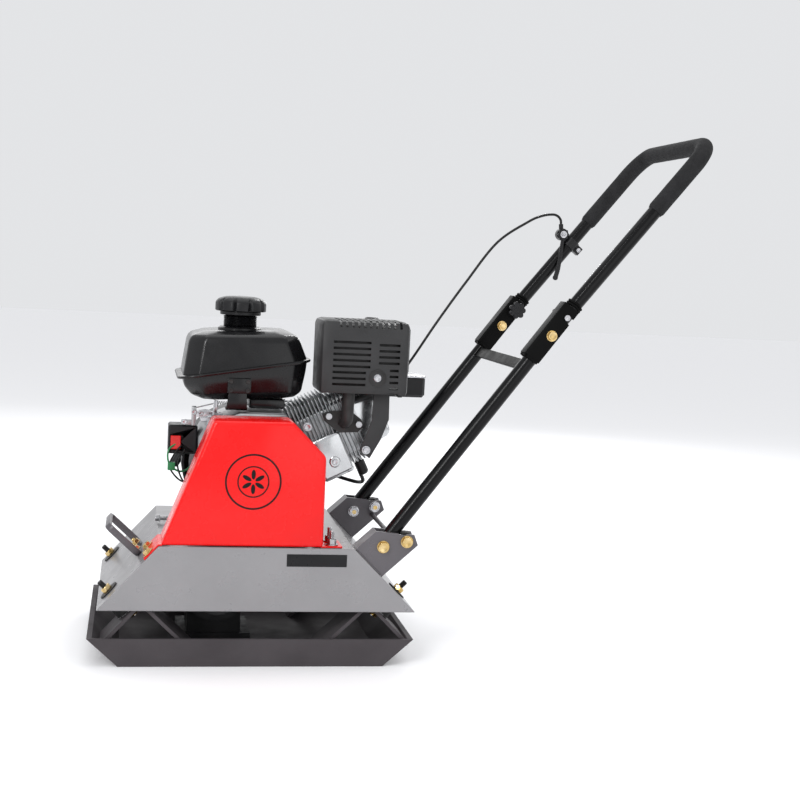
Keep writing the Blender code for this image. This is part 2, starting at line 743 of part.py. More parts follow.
def throttle_cable(top):
    """The sheathed cable, from the throttle housing in one free arch down to the control plate."""
    route = [
        top + Vector((0, 0, 0.0026)),
        top + Vector((-0.0012, 0, 0.0080)),
        top + Vector((-0.0075, -0.001, 0.0150)),
        top + Vector((-0.0190, -0.004, 0.0178)),
        Vector((0.5700, 0.157, 0.8100)),
        Vector((0.5397, 0.151, 0.796)),
        Vector((0.479, 0.150, 0.752)),
        Vector((0.4209, 0.150, 0.672)),
        Vector((0.3668, 0.150, 0.591)),
        Vector((0.3187, 0.150, 0.514)),
        Vector((0.2800, 0.146, 0.462)),
        Vector((0.2300, 0.140, 0.441)),
        Vector((0.1750, 0.129, 0.4385)),
        Vector((0.1450, 0.114, 0.4380)),
        Vector((0.1200, 0.097, 0.4380)),
    ]
    curve = bpy.data.curves.new("throttle_cable", "CURVE")
    curve.dimensions = "3D"
    curve.bevel_depth = 0.0025
    curve.bevel_resolution = 2
    curve.use_fill_caps = True
    points = smooth_route(route, 0.0150)
    spline = curve.splines.new("POLY")
    spline.points.add(len(points) - 1)
    for slot, point in zip(spline.points, points):
        slot.co = (*point, 1)
    curve.materials.append(paint("cable_black"))
    item = bpy.data.objects.new("throttle_cable", curve)
    bpy.context.scene.collection.objects.link(item)


def smooth_route(route, spacing):
    """Points at even spacing along a Catmull-Rom curve through the route."""
    ends = [route[0] * 2 - route[1], *route, route[-1] * 2 - route[-2]]
    fine = []
    for a, b, c, d in zip(ends, ends[1:], ends[2:], ends[3:]):
        for i in range(24):
            t = i / 24
            square = (2 * a - 5 * b + 4 * c - d) * t**2
            cube = (3 * b - a - 3 * c + d) * t**3
            fine.append(0.5 * (2 * b + (c - a) * t + square + cube))
    fine.append(route[-1])
    length = sum((after - before).length for before, after in zip(fine, fine[1:]))
    step = length / round(length / spacing)
    points = [fine[0]]
    left = step
    for before, after in zip(fine, fine[1:]):
        run = (after - before).length
        while left <= run - 1e-9:
            before = before.lerp(after, left / run)
            run = (after - before).length
            points.append(before)
            left = step
        left -= run
    if (points[-1] - fine[-1]).length > step / 2:
        points.append(fine[-1])
    else:
        points[-1] = fine[-1]
    return points


# Exciter and belt drive.


def exciter():
    """The exciter: a cast housing, and a shaft with an eccentric weight in two bearings."""
    centre = Vector((EXCITER_X, 0, EXCITER_Z))
    along = (0, 1, 0)
    bearing = 0.036
    barrel = lathe(
        [
            (bearing, -0.092),
            (0.060, -0.092),
            (0.060, -0.080),
            (EXCITER_BODY_RADIUS, -0.080),
            (EXCITER_BODY_RADIUS, 0.080),
            (0.060, 0.080),
            (0.060, 0.092),
            (bearing, 0.092),
            (bearing, 0.070),
            (0.044, 0.070),
            (0.044, -0.070),
            (bearing, -0.070),
        ],
        centre,
        along,
        24,
        hollow=True,
    )
    foot = box((EXCITER_X - 0.066, -0.062, TRAY_SOLE_WALL + GAP), (EXCITER_X + 0.066, 0.062, 0.022))
    pedestal = box((EXCITER_X - 0.048, -0.058, 0.018), (EXCITER_X + 0.048, 0.058, 0.0665))
    place("exciter_housing", joined(barrel, foot, pedestal), "cast_iron")
    rotor = empty("exciter_axis", centre)
    shaft = rod(centre + Vector((0, -0.152, 0)), centre + Vector((0, 0.090, 0)), EXCITER_SHAFT_RADIUS)
    half_disc = []
    for i in range(13):
        angle = math.pi + math.pi * i / 12
        half_disc.append((EXCITER_X + 0.040 * math.cos(angle), EXCITER_Z + 0.040 * math.sin(angle)))
    weight = prism(half_disc, -0.055, 0.055)
    place("exciter_shaft", joined(shaft, weight), "steel", centre, rotor)
    for side, sign in SIDES.items():
        middle = centre + Vector((0, sign * 0.081, 0))
        ring = ring_around(middle, along, EXCITER_SHAFT_RADIUS + GAP, bearing - GAP, -0.009, 0.009, 24)
        place(f"exciter_bearing_{side}", ring, "steel")
    pulley = pulley_shape(centre, EXCITER_PULLEY_RADIUS, EXCITER_PITCH_RADIUS, EXCITER_SHAFT_RADIUS + GAP)
    place("exciter_pulley", pulley, "cast_iron", centre, rotor)


def pulley_shape(centre, rim, pitch, bore):
    """A V-belt pulley whose groove leaves room for the belt."""
    floor = pitch - BELT_THICKNESS / 2 - 0.0006
    at = Vector((centre.x, BELT_Y, centre.z))
    profile = [
        (bore, -0.013),
        (rim, -0.013),
        (rim, -BELT_HALF_WIDTH - 0.0025),
        (floor, -BELT_HALF_WIDTH - 0.0006),
        (floor, BELT_HALF_WIDTH + 0.0006),
        (rim, BELT_HALF_WIDTH + 0.0025),
        (rim, 0.013),
        (bore, 0.013),
    ]
    return lathe(profile, at, (0, 1, 0), 20, hollow=True)


def clutch():
    """The centrifugal clutch: a hub keyed to the crankshaft, inside a drum that carries the pulley."""
    centre = Vector((CRANK_X, 0, CRANK_Z))
    crank_axis = empty("crank_axis", centre)
    drum_axis = empty("drum_axis", centre)
    hub = ring_around(centre, (0, 1, 0), CRANK_RADIUS + GAP, 0.046, -0.182, -0.158, 20)
    place("clutch_hub", hub, "steel", centre, crank_axis)
    floor = DRUM_PITCH_RADIUS - BELT_THICKNESS / 2 - 0.0006
    bore = CRANK_RADIUS + 0.0004
    near = BELT_Y - BELT_HALF_WIDTH
    far = BELT_Y + BELT_HALF_WIDTH
    drum = lathe(
        [
            (bore, far + 0.007),
            (bore, -0.1565),
            (0.0475, -0.1565),
            (0.0475, -0.184),
            (0.0515, -0.184),
            (0.0515, -0.1525),
            (0.0460, -0.1525),
            (0.0460, near - 0.0025),
            (floor, near - 0.0006),
            (floor, far + 0.0006),
            (0.0460, far + 0.0025),
            (0.0460, far + 0.007),
        ],
        centre,
        (0, 1, 0),
        20,
        hollow=True,
    )
    place("clutch_drum", drum, "steel", centre, drum_axis)
    return crank_axis


def drive_belt():
    """A V-belt round the clutch drum and the exciter pulley."""
    top = Vector((CRANK_X, BELT_Y, CRANK_Z))
    bottom = Vector((EXCITER_X, BELT_Y, EXCITER_Z))
    down = bottom - top
    heading = math.atan2(down.z, down.x)
    lean = math.acos((DRUM_PITCH_RADIUS - EXCITER_PITCH_RADIUS) / down.length)
    rings = []
    for centre, pitch, start, turn in (
        (top, DRUM_PITCH_RADIUS, heading + lean, 2 * math.pi - 2 * lean),
        (bottom, EXCITER_PITCH_RADIUS, heading - lean, 2 * lean),
    ):
        for i in range(17):
            angle = start + turn * i / 16
            out = Vector((math.cos(angle), 0, math.sin(angle)))
            ring = []
            for depth, half in ((-0.5, 0.7), (0.5, 1.0), (0.5, -1.0), (-0.5, -0.7)):
                reach = pitch + depth * BELT_THICKNESS
                ring.append(centre + out * reach + Vector((0, half * BELT_HALF_WIDTH, 0)))
            rings.append(ring)
    place("drive_belt", loft(rings, closed=True), "rubber")


def belt_guard():
    """A pressed cover with a flange foot on the front slope and one on the deck behind it."""
    outer = softened(prism(GUARD_OUTLINE, GUARD_NEAR_Y, GUARD_FAR_Y), 0.006, 3)
    walls = [-0.020] + [GUARD_WALL] * 4
    inner = prism(inset(GUARD_OUTLINE, walls), GUARD_NEAR_Y + GUARD_WALL, GUARD_FAR_Y + 0.020)
    hollow = softened(inner, 0.004, 2)
    down, _, normal = slope_frame("front", 0.117)
    foot_z = DECK_TOP_Z + 0.0006
    foot_points = [
        (DECK_FRONT_TOP_X + 0.006, foot_z + GUARD_WALL),
        (DECK_FRONT_TOP_X - 0.001, foot_z + GUARD_WALL),
        tuple((down + normal * (GAP + GUARD_WALL)).xz),
    ]
    front_foot = prism(bent_plate(foot_points[::-1], GUARD_WALL), GUARD_NEAR_Y + 0.002, GUARD_FAR_Y)
    rear_foot = box(
        (0.1100, GUARD_NEAR_Y + 0.004, foot_z),
        (0.1480, GUARD_FAR_Y - 0.030, foot_z + GUARD_WALL),
    )
    place("belt_guard", joined(cut(outer, hollow), front_foot, rear_foot), "guard_paint")


# Engine.


def engine_point(along, above, y=0.0):
    """A point on the cylinder's axis at a distance from the crankshaft, and at a distance above it."""
    return Vector((CRANK_X, y, CRANK_Z)) + CYLINDER_AXIS * along + CYLINDER_UP * above


def block_ring(along, bottom, top, near, far, corner):
    """A rectangle square to the cylinder's axis, with its corners cut off."""
    points = [
        (bottom + corner, near),
        (top - corner, near),
        (top, near + corner),
        (top, far - corner),
        (top - corner, far),
        (bottom + corner, far),
        (bottom, far - corner),
        (bottom, near + corner),
    ]
    return [engine_point(along, above, y) for above, y in points]


def finned_block(start, end, fins, core, reach):
    """A block along the cylinder's axis with fins round it: core and reach are (bottom, top, near, far)."""
    rings = [block_ring(start, *core, 0.008)]
    pitch = (end - start) / fins
    for i in range(fins):
        low = start + pitch * (i + 0.30)
        high = start + pitch * (i + 0.70)
        rings.append(block_ring(low, *core, 0.008))
        rings.append(block_ring(low, *reach, 0.012))
        rings.append(block_ring(high, *reach, 0.012))
        rings.append(block_ring(high, *core, 0.008))
    rings.append(block_ring(end, *core, 0.008))
    return loft(rings)


def crankcase():
    """The crankcase, open at the near side, on its four-footed base; the cover closes it."""
    top_right = engine_point(0.110, 0.070)
    low_right = engine_point(0.110, -0.080)
    outline = [
        (-0.100, 0.214),
        (0.104, 0.214),
        (low_right.x, low_right.z),
        (top_right.x, top_right.z),
        (-0.030, top_right.z),
        (-0.085, 0.405),
        (-0.100, 0.380),
    ]
    shell = softened(prism(outline, -0.085, 0.062), 0.004, 1)
    hollow = prism(inset(outline, [0.010] * len(outline)), -0.100, 0.054)
    base = box((-0.118, -0.0845, DECK_TOP_Z + GAP), (0.112, 0.0618, 0.220))
    shaft_hole = rod((CRANK_X, 0.04, CRANK_Z), (CRANK_X, 0.08, CRANK_Z), CRANK_RADIUS + GAP, 24)
    plate = box((0.012, 0.0540, 0.4235), (0.098, 0.104, 0.4290))
    place("crankcase", joined(cut(shell, hollow, shaft_hole), base, plate), "cast_aluminium")
    cover = softened(prism(inset(outline, [0.001] * len(outline)), -0.097, -0.085 - GAP), 0.003, 1)
    boss = rod((CRANK_X, -0.094, CRANK_Z), (CRANK_X, -0.106, CRANK_Z), 0.032, 24)
    cover_hole = rod((CRANK_X, -0.120, CRANK_Z), (CRANK_X, -0.070, CRANK_Z), CRANK_RADIUS + GAP, 24)
    place("crankcase_cover", cut(joined(cover, boss), cover_hole), "cast_aluminium")


def crank_rotor(crank_axis):
    """The crankshaft, with its counterweights, and the finned flywheel on its far end."""
    centre = Vector((CRANK_X, 0, CRANK_Z))
    shaft = rod(centre + Vector((0, -0.188, 0)), centre + Vector((0, 0.120, 0)), CRANK_RADIUS)
    web_outline = [
        (CRANK_X - 0.020, CRANK_Z + 0.034),
        (CRANK_X - 0.040, CRANK_Z - 0.036),
        (CRANK_X + 0.040, CRANK_Z - 0.036),
        (CRANK_X + 0.020, CRANK_Z + 0.034),
    ]
    web = prism(web_outline, -0.040, 0.020)
    place("crankshaft", joined(shaft, web), "steel", centre, crank_axis)
    wheel = ring_around(centre, (0, 1, 0), CRANK_RADIUS + GAP, FLYWHEEL_RADIUS, 0.070, 0.096, 24)
    blades = []
    for i in range(8):
        angle = 2 * math.pi * i / 8
        out = Vector((math.cos(angle), 0, math.sin(angle)))
        path = [centre + out * 0.058 + Vector((0, 0.1015, 0)), centre + out * 0.091 + Vector((0, 0.1015, 0))]
        blades.append(sweep(path, rectangle(0.002, 0.016)))
    place("flywheel", joined(wheel, *blades), "cast_aluminium", centre, crank_axis)


def recoil_starter():
    """The fan housing, the recoil cover on it, and the pull grip with the start of its rope."""
    centre = Vector((CRANK_X, 0, CRANK_Z))
    along = (0, 1, 0)
    fan = [
        (0.104, 0.0625),
        (0.108, 0.0625),
        (0.108, 0.128),
        (0.104, 0.132),
        (0.070, 0.132),
        (0.070, 0.128),
        (0.104, 0.128),
    ]
    place("fan_housing", lathe(fan, centre, along, 24, hollow=True), "black_plastic")
    outside = [(0, 0.168), (0.074, 0.168), (0.083, 0.160), (0.085, 0.1325)]
    inside = [(0.0805, 0.1325), (0.0790, 0.158), (0.0725, 0.1645), (0, 0.1645)]
    cover = lathe(outside + inside, centre, along, 24)
    pull = Vector((-math.cos(math.radians(30)), 0, math.sin(math.radians(30))))
    low = Vector((pull.z, 0, -pull.x)) * -1
    line = centre + low * 0.050 + Vector((0, RECOIL_Y, 0))
    exit_hole = rod(line + pull * 0.050, line + pull * 0.100, 0.0035, 12)
    place("recoil_cover", cut(cover, exit_hole), "black_plastic")
    rope = rod(line - pull * 0.052, line + pull * 0.092, 0.0022, 8)
    grip_at = line + pull * 0.094
    grip = softened(rod(grip_at - low * 0.028, grip_at + low * 0.028, 0.0085, 12), 0.002)
    neck = rod(line + pull * 0.0735, grip_at, 0.006, 12)
    return_axis = empty("starter_grip_rest", grip_at)
    place("starter_grip", joined(rope, grip, neck), "black_plastic", grip_at, return_axis)


def cylinder_and_head():
    """The finned cylinder, its head, the rocker cover and the spark plug's cap."""
    cylinder = finned_block(0.1103, 0.1850, 7, (-0.050, 0.045, -0.040, 0.036), (-0.078, 0.074, -0.058, 0.052))
    chest = loft([block_ring(along, -0.080, 0.0, -0.0580, -0.030, 0.003) for along in (0.128, 0.1848)])
    place("cylinder", joined(cylinder, chest), "cast_aluminium")
    head = finned_block(0.1853, 0.2210, 3, (-0.056, 0.050, -0.050, 0.046), (-0.070, 0.066, -0.058, 0.054))
    place("cylinder_head", head, "cast_aluminium")
    cover = [
        block_ring(0.2213, -0.058, 0.046, -0.052, 0.048, 0.010),
        block_ring(0.2270, -0.058, 0.046, -0.052, 0.048, 0.010),
        block_ring(0.2275, -0.054, 0.042, -0.048, 0.044, 0.012),
        block_ring(0.2640, -0.052, 0.040, -0.046, 0.042, 0.014),
        block_ring(0.2750, -0.044, 0.032, -0.038, 0.034, 0.012),
    ]
    place("rocker_cover", loft(cover), "cast_aluminium")
    plug_at = engine_point(0.2030, -0.0705 - GAP, 0.020)
    plug_profile = [
        (0, 0),
        (0.006, 0),
        (0.006, 0.010),
        (0.010, 0.011),
        (0.010, 0.034),
        (0.007, 0.038),
        (0, 0.038),
    ]
    place("spark_plug_cap", lathe(plug_profile, plug_at, -CYLINDER_UP, 16), "black_plastic")


def exhaust():
    """The exhaust pipe with its flange, the muffler and its slotted guard."""
    port = Vector((0.160, -0.0585, 0.412))
    flange_outline = [
        (0.1205, 0.4255),
        (0.1240, 0.4130),
        (0.1500, 0.3925),
        (0.1860, 0.3940),
        (0.1970, 0.4060),
        (0.1910, 0.4180),
        (0.1700, 0.4330),
        (0.1370, 0.4310),
    ]
    flange = prism(flange_outline, port.y - 0.006, port.y - GAP)
    start = port + Vector((0, -0.004, 0))
    elbow = port + Vector((0.002, -0.026, 0))
    end = port + Vector((0.003, -0.026, 0.064))
    path = filleted([start, elbow, end], 0.016, 5)
    pipe_shape = sweep(path, circle(0.011, 16), (1, 0, 0))
    place("exhaust_pipe", joined(flange, pipe_shape), "exhaust_steel")
    margin = Vector((0.008, 0.010, 0.010))
    low = MUFFLER_LOW + margin
    high = MUFFLER_HIGH - margin
    canister = softened(box((low.x, low.y, 0.4765), (high.x, high.y - 0.002, high.z)), 0.010, 2)
    place("muffler", canister, "exhaust_steel")
    muffler_guard()


def muffler_guard():
    """A pressed box open at the back and below, with cooling slots in its face and top."""
    low = MUFFLER_LOW
    high = MUFFLER_HIGH
    wall = 0.002
    outer = softened(box(low, high), 0.010, 2)
    inner = box(
        (low.x + wall, low.y + wall, low.z - 0.030),
        (high.x - wall, high.y + 0.030, high.z - wall),
    )
    hollow = softened(inner, 0.008, 2)
    pitch = 0.0107
    half = 0.0022
    slots = []

    def face_slot(left, right, z):
        slots.append(box((left, low.y - 0.01, z - half), (right, low.y + 0.008, z + half)))

    for i in range(8):
        face_slot(0.1285, 0.1955 if i < 5 else 0.1880, 0.5590 - i * pitch)
    for i in range(4):
        face_slot(0.2105, 0.2480, 0.5560 - i * pitch)
    for i in range(5):
        face_slot(0.2310, 0.2470, 0.5110 - i * pitch)
    for i in range(11):
        x = 0.1400 + i * 0.0108
        slots.append(box((x - half, low.y - 0.01, high.z - 0.0125), (x + half, low.y + 0.086, high.z + 0.01)))
    place("muffler_guard", cut(outer, hollow, *slots), "muffler_paint")


def tank_ring(left, right, near, far, corner, low, slope):
    """A horizontal rectangle with cut corners, whose height rises along X with the slope."""
    points = [
        (left + corner, near),
        (right - corner, near),
        (right, near + corner),
        (right, far - corner),
        (right - corner, far),
        (left + corner, far),
        (left, far - corner),
        (left, near + corner),
    ]
    return [Vector((x, y, low + slope * x)) for x, y in points]


def fuel_tank():
    """A pressed tank of two halves with a sloping seam, hollow, with a filler neck on top."""
    seam = TANK_SEAM_Z
    slope = TANK_SEAM_SLOPE
    outside = [
        tank_ring(-0.090, 0.066, -0.064, 0.090, 0.020, 0.4485, 0.055),
        tank_ring(-0.112, 0.078, -0.078, 0.104, 0.024, 0.4590, 0.060),
        tank_ring(-0.128, 0.087, -0.086, 0.112, 0.026, seam - 0.0190, slope * 0.90),
        tank_ring(-0.131, 0.089, -0.087, 0.113, 0.026, seam - 0.0030, slope),
        tank_ring(-0.141, 0.094, -0.094, 0.120, 0.026, seam - 0.0030, slope),
        tank_ring(-0.141, 0.094, -0.094, 0.120, 0.026, seam + 0.0030, slope),
        tank_ring(-0.131, 0.089, -0.087, 0.113, 0.026, seam + 0.0030, slope),
        tank_ring(-0.122, 0.075, -0.081, 0.107, 0.026, 0.5525, 0.035),
        tank_ring(-0.116, 0.068, -0.076, 0.102, 0.024, 0.5620, 0.035),
        tank_ring(-0.092, 0.050, -0.054, 0.082, 0.022, 0.5690, 0.035),
    ]
    inside = [
        tank_ring(-0.088, 0.064, -0.062, 0.088, 0.020, 0.4510, 0.055),
        tank_ring(-0.126, 0.085, -0.084, 0.110, 0.026, seam - 0.0170, slope * 0.90),
        tank_ring(-0.128, 0.086, -0.084, 0.110, 0.026, seam, slope),
        tank_ring(-0.119, 0.072, -0.078, 0.104, 0.026, 0.5510, 0.035),
        tank_ring(-0.090, 0.048, -0.052, 0.080, 0.022, 0.5665, 0.035),
    ]
    at = Vector((TANK_CAP_X, TANK_CAP_Y, 0))
    neck = rod(at + Vector((0, 0, 0.560)), at + Vector((0, 0, 0.5935)), 0.031, 24)
    bore = rod(at + Vector((0, 0, 0.540)), at + Vector((0, 0, 0.620)), 0.026, 24)
    place("fuel_tank", cut(joined(loft(outside), neck), loft(inside), bore), "tank_black")
    skirt = 0.046
    profile = [
        (0, 0.6285),
        (0.030, 0.6275),
        (0.041, 0.6235),
        (skirt, 0.6170),
        (skirt, 0.6010),
        (0.0368, 0.6005),
        (0.0368, 0.5938),
        (0, 0.5938),
    ]
    place("fuel_cap", lathe(profile, at, (0, 0, 1), 28), "black_plastic", at + Vector((0, 0, 0.600)))


def intake():
    """The carburettor with its levers, and the air cleaner above it."""
    body = softened(box((0.168, 0.0555, 0.392), (0.214, 0.110, 0.4485)), 0.003)
    place("carburetor", body, "cast_aluminium")
    base = softened(box((0.150, 0.058, 0.4490), (0.331, 0.135, 0.4895)), 0.005)
    top = softened(box((0.156, 0.060, 0.4850), (0.300, 0.133, 0.5880)), 0.012, 2)
    place("air_cleaner", joined(base, top), "black_plastic")
    for name, x, z, reach in (("choke_lever", 0.202, 0.437, 0.030), ("fuel_lever", 0.184, 0.403, 0.026)):
        pivot = Vector((x, 0.110 + GAP, z))
        hub = rod(pivot, pivot + Vector((0, 0.006, 0)), 0.006, 16)
        middle = pivot + Vector((0, 0.003, 0))
        arm = sweep([middle, middle + Vector((reach, 0, 0))], rectangle(0.004, 0.005))
        end_x = x + reach
        tab = box((end_x - 0.004, pivot.y + 0.0005, z - 0.0035), (end_x + 0.004, pivot.y + 0.011, z + 0.0035))
        place(name, joined(hub, arm, tab), "black_plastic", pivot)


def small_controls():
    """The engine switch in its box, the throttle arm on the control plate, and the oil dipstick."""
    case = softened(box((-0.152, -0.046, 0.344), (-0.100 - GAP, 0.004, 0.396)), 0.003)
    window = box((-0.1485, -0.0600, 0.3505), (-0.1285, -0.0300, 0.3785))
    place("switch_box", cut(case, window), "black_plastic")
    rocker_pivot = Vector((-0.1385, -0.0400, 0.3645))
    rocker = box((-0.1475, -0.0475, 0.3522), (-0.1295, -0.0400, 0.3768))
    place("engine_switch", softened(rocker, 0.001), "switch_red", rocker_pivot)
    arm_pivot = Vector((0.060, 0.078, 0.4290 + GAP))
    post = rod(arm_pivot, arm_pivot + Vector((0, 0, 0.007)), 0.007, 16)
    lever = box(
        (arm_pivot.x, arm_pivot.y - 0.005, 0.4310),
        (arm_pivot.x + 0.038, arm_pivot.y + 0.005, 0.4340),
    )
    pin_at = Vector((arm_pivot.x + 0.033, arm_pivot.y, 0.4330))
    pin = rod(pin_at, pin_at + Vector((0, 0, 0.008)), 0.003, 12)
    place("throttle_arm", joined(post, lever, pin), "steel", arm_pivot)
    plug_at = Vector((-0.100 - GAP, -0.052, 0.247))
    cap_profile = [
        (0, 0),
        (0.008, 0),
        (0.008, 0.006),
        (0.015, 0.007),
        (0.015, 0.017),
        (0.011, 0.020),
        (0, 0.020),
    ]
    place("oil_dipstick", lathe(cap_profile, plug_at, (-1, 0, 0), 20), "black_plastic", plug_at)


def build():
    clear_scene()
    base_plate()
    rubber_mounts()
    engine_deck()
    lift_loop()
    handle_brackets()
    bracket_bolts()
    tie_rod()
    tilt = empty("handle_tilt_axis", PIVOT)
    fold = empty("handle_fold_axis", FOLD, tilt)
    lower_handle(tilt)
    upper_handle(fold)
    fold_hardware(tilt, fold)
    throttle_cable(throttle_control(fold))
    exciter()
    crank_axis = clutch()
    drive_belt()
    belt_guard()
    crankcase()
    crank_rotor(crank_axis)
    recoil_starter()
    cylinder_and_head()
    exhaust()
    fuel_tank()
    intake()
    small_controls()


build()
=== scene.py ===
"""Looks for the plate compactor: finishes, fasteners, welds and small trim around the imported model.

Metres, +Z up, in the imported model's own frame: -X is the travel direction, +X the operator's side,
-Y the side of the belt guard ("left") and +Y the far side ("right").
"""

import json
from math import cos, pi, radians, sin, sqrt, tan

import bmesh
import bpy
from mathutils import Matrix, Vector


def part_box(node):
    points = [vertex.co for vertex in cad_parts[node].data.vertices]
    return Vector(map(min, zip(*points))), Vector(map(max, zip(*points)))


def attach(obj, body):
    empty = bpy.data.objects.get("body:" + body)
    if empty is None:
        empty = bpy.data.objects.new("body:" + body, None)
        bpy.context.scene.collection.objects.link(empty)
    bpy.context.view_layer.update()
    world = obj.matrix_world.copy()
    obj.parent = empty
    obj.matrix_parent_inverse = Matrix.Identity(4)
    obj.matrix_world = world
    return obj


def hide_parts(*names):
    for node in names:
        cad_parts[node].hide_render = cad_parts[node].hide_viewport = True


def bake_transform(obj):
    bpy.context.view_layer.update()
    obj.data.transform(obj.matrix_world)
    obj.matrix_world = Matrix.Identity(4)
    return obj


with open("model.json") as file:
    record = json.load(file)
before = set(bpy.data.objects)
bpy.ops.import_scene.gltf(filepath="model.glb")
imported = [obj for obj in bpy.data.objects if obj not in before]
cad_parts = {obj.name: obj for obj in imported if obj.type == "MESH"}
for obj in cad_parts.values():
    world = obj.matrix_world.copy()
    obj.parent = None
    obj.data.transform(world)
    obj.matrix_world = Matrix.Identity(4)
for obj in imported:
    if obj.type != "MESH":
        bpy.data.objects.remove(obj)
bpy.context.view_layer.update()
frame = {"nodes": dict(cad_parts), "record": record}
SIDES = {"left": -1, "right": 1}
NEAR_OUT = Vector((0, -1, 0))
FAR_OUT = Vector((0, 1, 0))

# Driving dimensions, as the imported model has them.
DECK_SLOPES = {
    "front": (Vector((-0.266, 0, 0.096)), Vector((-0.165, 0, 0.207))),
    "rear": (Vector((0.281, 0, 0.096)), Vector((0.169, 0, 0.207))),
}
DECK_TOP_Z = 0.207
DECK_SIDE_Y = -0.2
DECK_WALL = 0.005
MOUNT_Y = 0.15
MOUNT_UP_SLOPE = {"front": 0.031, "rear": 0.038}
MOUNT_LENGTH = 0.04
MOUNT_RADIUS = 0.024
BRACKET_PLATE = 0.006
TUBE_Y = 0.174
TUBE_RADIUS = 0.0127
TUBE_BORE = 0.0109
PIVOT = Vector((0.2195, 0, 0.2105))
FOLD = Vector((0.5005, 0, 0.5887))
FOLD_AHEAD = (FOLD - PIVOT).length
LOWER_DIRECTION = (FOLD - PIVOT).normalized()
UPPER_ANGLE = radians(51.5)
UPPER_DIRECTION = Vector((cos(UPPER_ANGLE), 0, sin(UPPER_ANGLE)))
UPPER_LENGTH = 0.448
UPPER_BEND = 0.05
UPPER_SPACING = 0.006
FOAM_RADIUS = 0.0157
FOAM_START = {"left": 0.289, "right": 0.27}
STOP_AHEAD = 0.0324
STOP_RADIUS = 0.0146
LOCK_AHEAD = 0.0415
CLAMP_AHEAD = 0.217
GUARD_FACE_Y = -0.197
EMBLEM_THICKNESS = 0.0004
CRANK = Vector((-0.015, 0, 0.315))
CYLINDER_ANGLE = radians(26)
CYLINDER_AXIS = Vector((cos(CYLINDER_ANGLE), 0, sin(CYLINDER_ANGLE)))
CYLINDER_UP = Vector((-sin(CYLINDER_ANGLE), 0, cos(CYLINDER_ANGLE)))
TANK_CAP = Vector((-0.0285, 0.01, 0))
TANK_SEAM_Z = 0.5058
TANK_SEAM_SLOPE = tan(radians(9.5))
CABLE_RADIUS = 0.0025
CABLE_TOP = Vector((0.6125, 0.166, 0.7989))
CABLE_SPLIT = Vector((0.479, 0.15, 0.752))


# Materials.

GLOSS_SPREAD = 0.08
DUST_COLOUR = (0.42, 0.39, 0.35, 1)
FINISHES = {}


def set_inputs(node, values):
    for key, value in values.items():
        node.inputs[key].default_value = value


def material(
    name, colour, roughness, metallic=0.0, coat=0.0, mottle=0.1, mottle_scale=9.0, tint=None,
    grain=0.0, grain_scale=900.0, peel=0.0, peel_scale=160.0, dust=0.0, specular=0.5, ior=1.5,
):
    """Makes a finish whose colour drifts slowly and whose gloss varies, with fine grain or orange peel."""
    made = bpy.data.materials.new(name)
    made.use_nodes = True
    tree = made.node_tree

    def node(kind, output, inputs, **settings):
        """Adds a node, sets or links its inputs, and returns one of its outputs."""
        added = tree.nodes.new(kind)
        for key, value in settings.items():
            setattr(added, key, value)
        for key, value in inputs.items():
            if isinstance(value, bpy.types.NodeSocket):
                tree.links.new(value, added.inputs[key])
            else:
                added.inputs[key].default_value = value
        return added.outputs[output]

    place = node("ShaderNodeTexCoord", "Object", {})

    def noise(scale, detail, rough=0.55):
        inputs = {"Scale": scale, "Detail": detail, "Roughness": rough, "Vector": place}
        return node("ShaderNodeTexNoise", "Fac", inputs)

    surface_colour = node("ShaderNodeValToRGB", "Color", {"Fac": noise(mottle_scale, 4)})
    dark = tuple(channel * (1 - mottle) for channel in colour)
    light_tone = tint or tuple(min(1.0, channel * (1 + mottle)) for channel in colour)
    stops = surface_colour.node.color_ramp.elements
    for stop, position, tone in zip(stops, (0.32, 0.7), (dark, light_tone)):
        stop.position = position
        stop.color = (*tone, 1)

    gloss = {
        "Value": noise(mottle_scale * 3.1, 6),
        "From Min": 0.3,
        "From Max": 0.7,
        "To Min": max(0.03, roughness - GLOSS_SPREAD),
        "To Max": min(1.0, roughness + GLOSS_SPREAD),
    }
    surface_gloss = node("ShaderNodeMapRange", "Result", gloss)

    if dust:
        normal = node("ShaderNodeNewGeometry", "Normal", {})
        facing_up = node("ShaderNodeSeparateXYZ", "Z", {"Vector": normal})
        settles = {"Value": facing_up, "From Min": 0.35, "From Max": 1.0, "To Max": dust}
        upward = node("ShaderNodeMapRange", "Result", settles)
        patchy = node("ShaderNodeMath", "Value", {0: upward, 1: noise(38.0, 8, 0.7)}, operation="MULTIPLY")
        blend = {"Factor": patchy, "A": surface_colour, "B": DUST_COLOUR}
        surface_colour = node("ShaderNodeMix", "Result", blend, data_type="RGBA")

    shader = tree.nodes["Principled BSDF"]
    tree.links.new(surface_colour, shader.inputs["Base Color"])
    tree.links.new(surface_gloss, shader.inputs["Roughness"])
    values = {"Metallic": metallic, "Coat Weight": coat, "Coat Roughness": 0.08}
    set_inputs(shader, {**values, "Specular IOR Level": specular, "IOR": ior})

    relief = None
    for strength, scale, distance in ((peel, peel_scale, 0.0004), (grain, grain_scale, 0.0002)):
        if not strength:
            continue
        bump = {"Strength": strength, "Distance": distance, "Height": noise(scale, 3)}
        if relief:
            bump["Normal"] = relief
        relief = node("ShaderNodeBump", "Normal", bump)
    if relief:
        tree.links.new(relief, shader.inputs["Normal"])
    FINISHES[name] = made


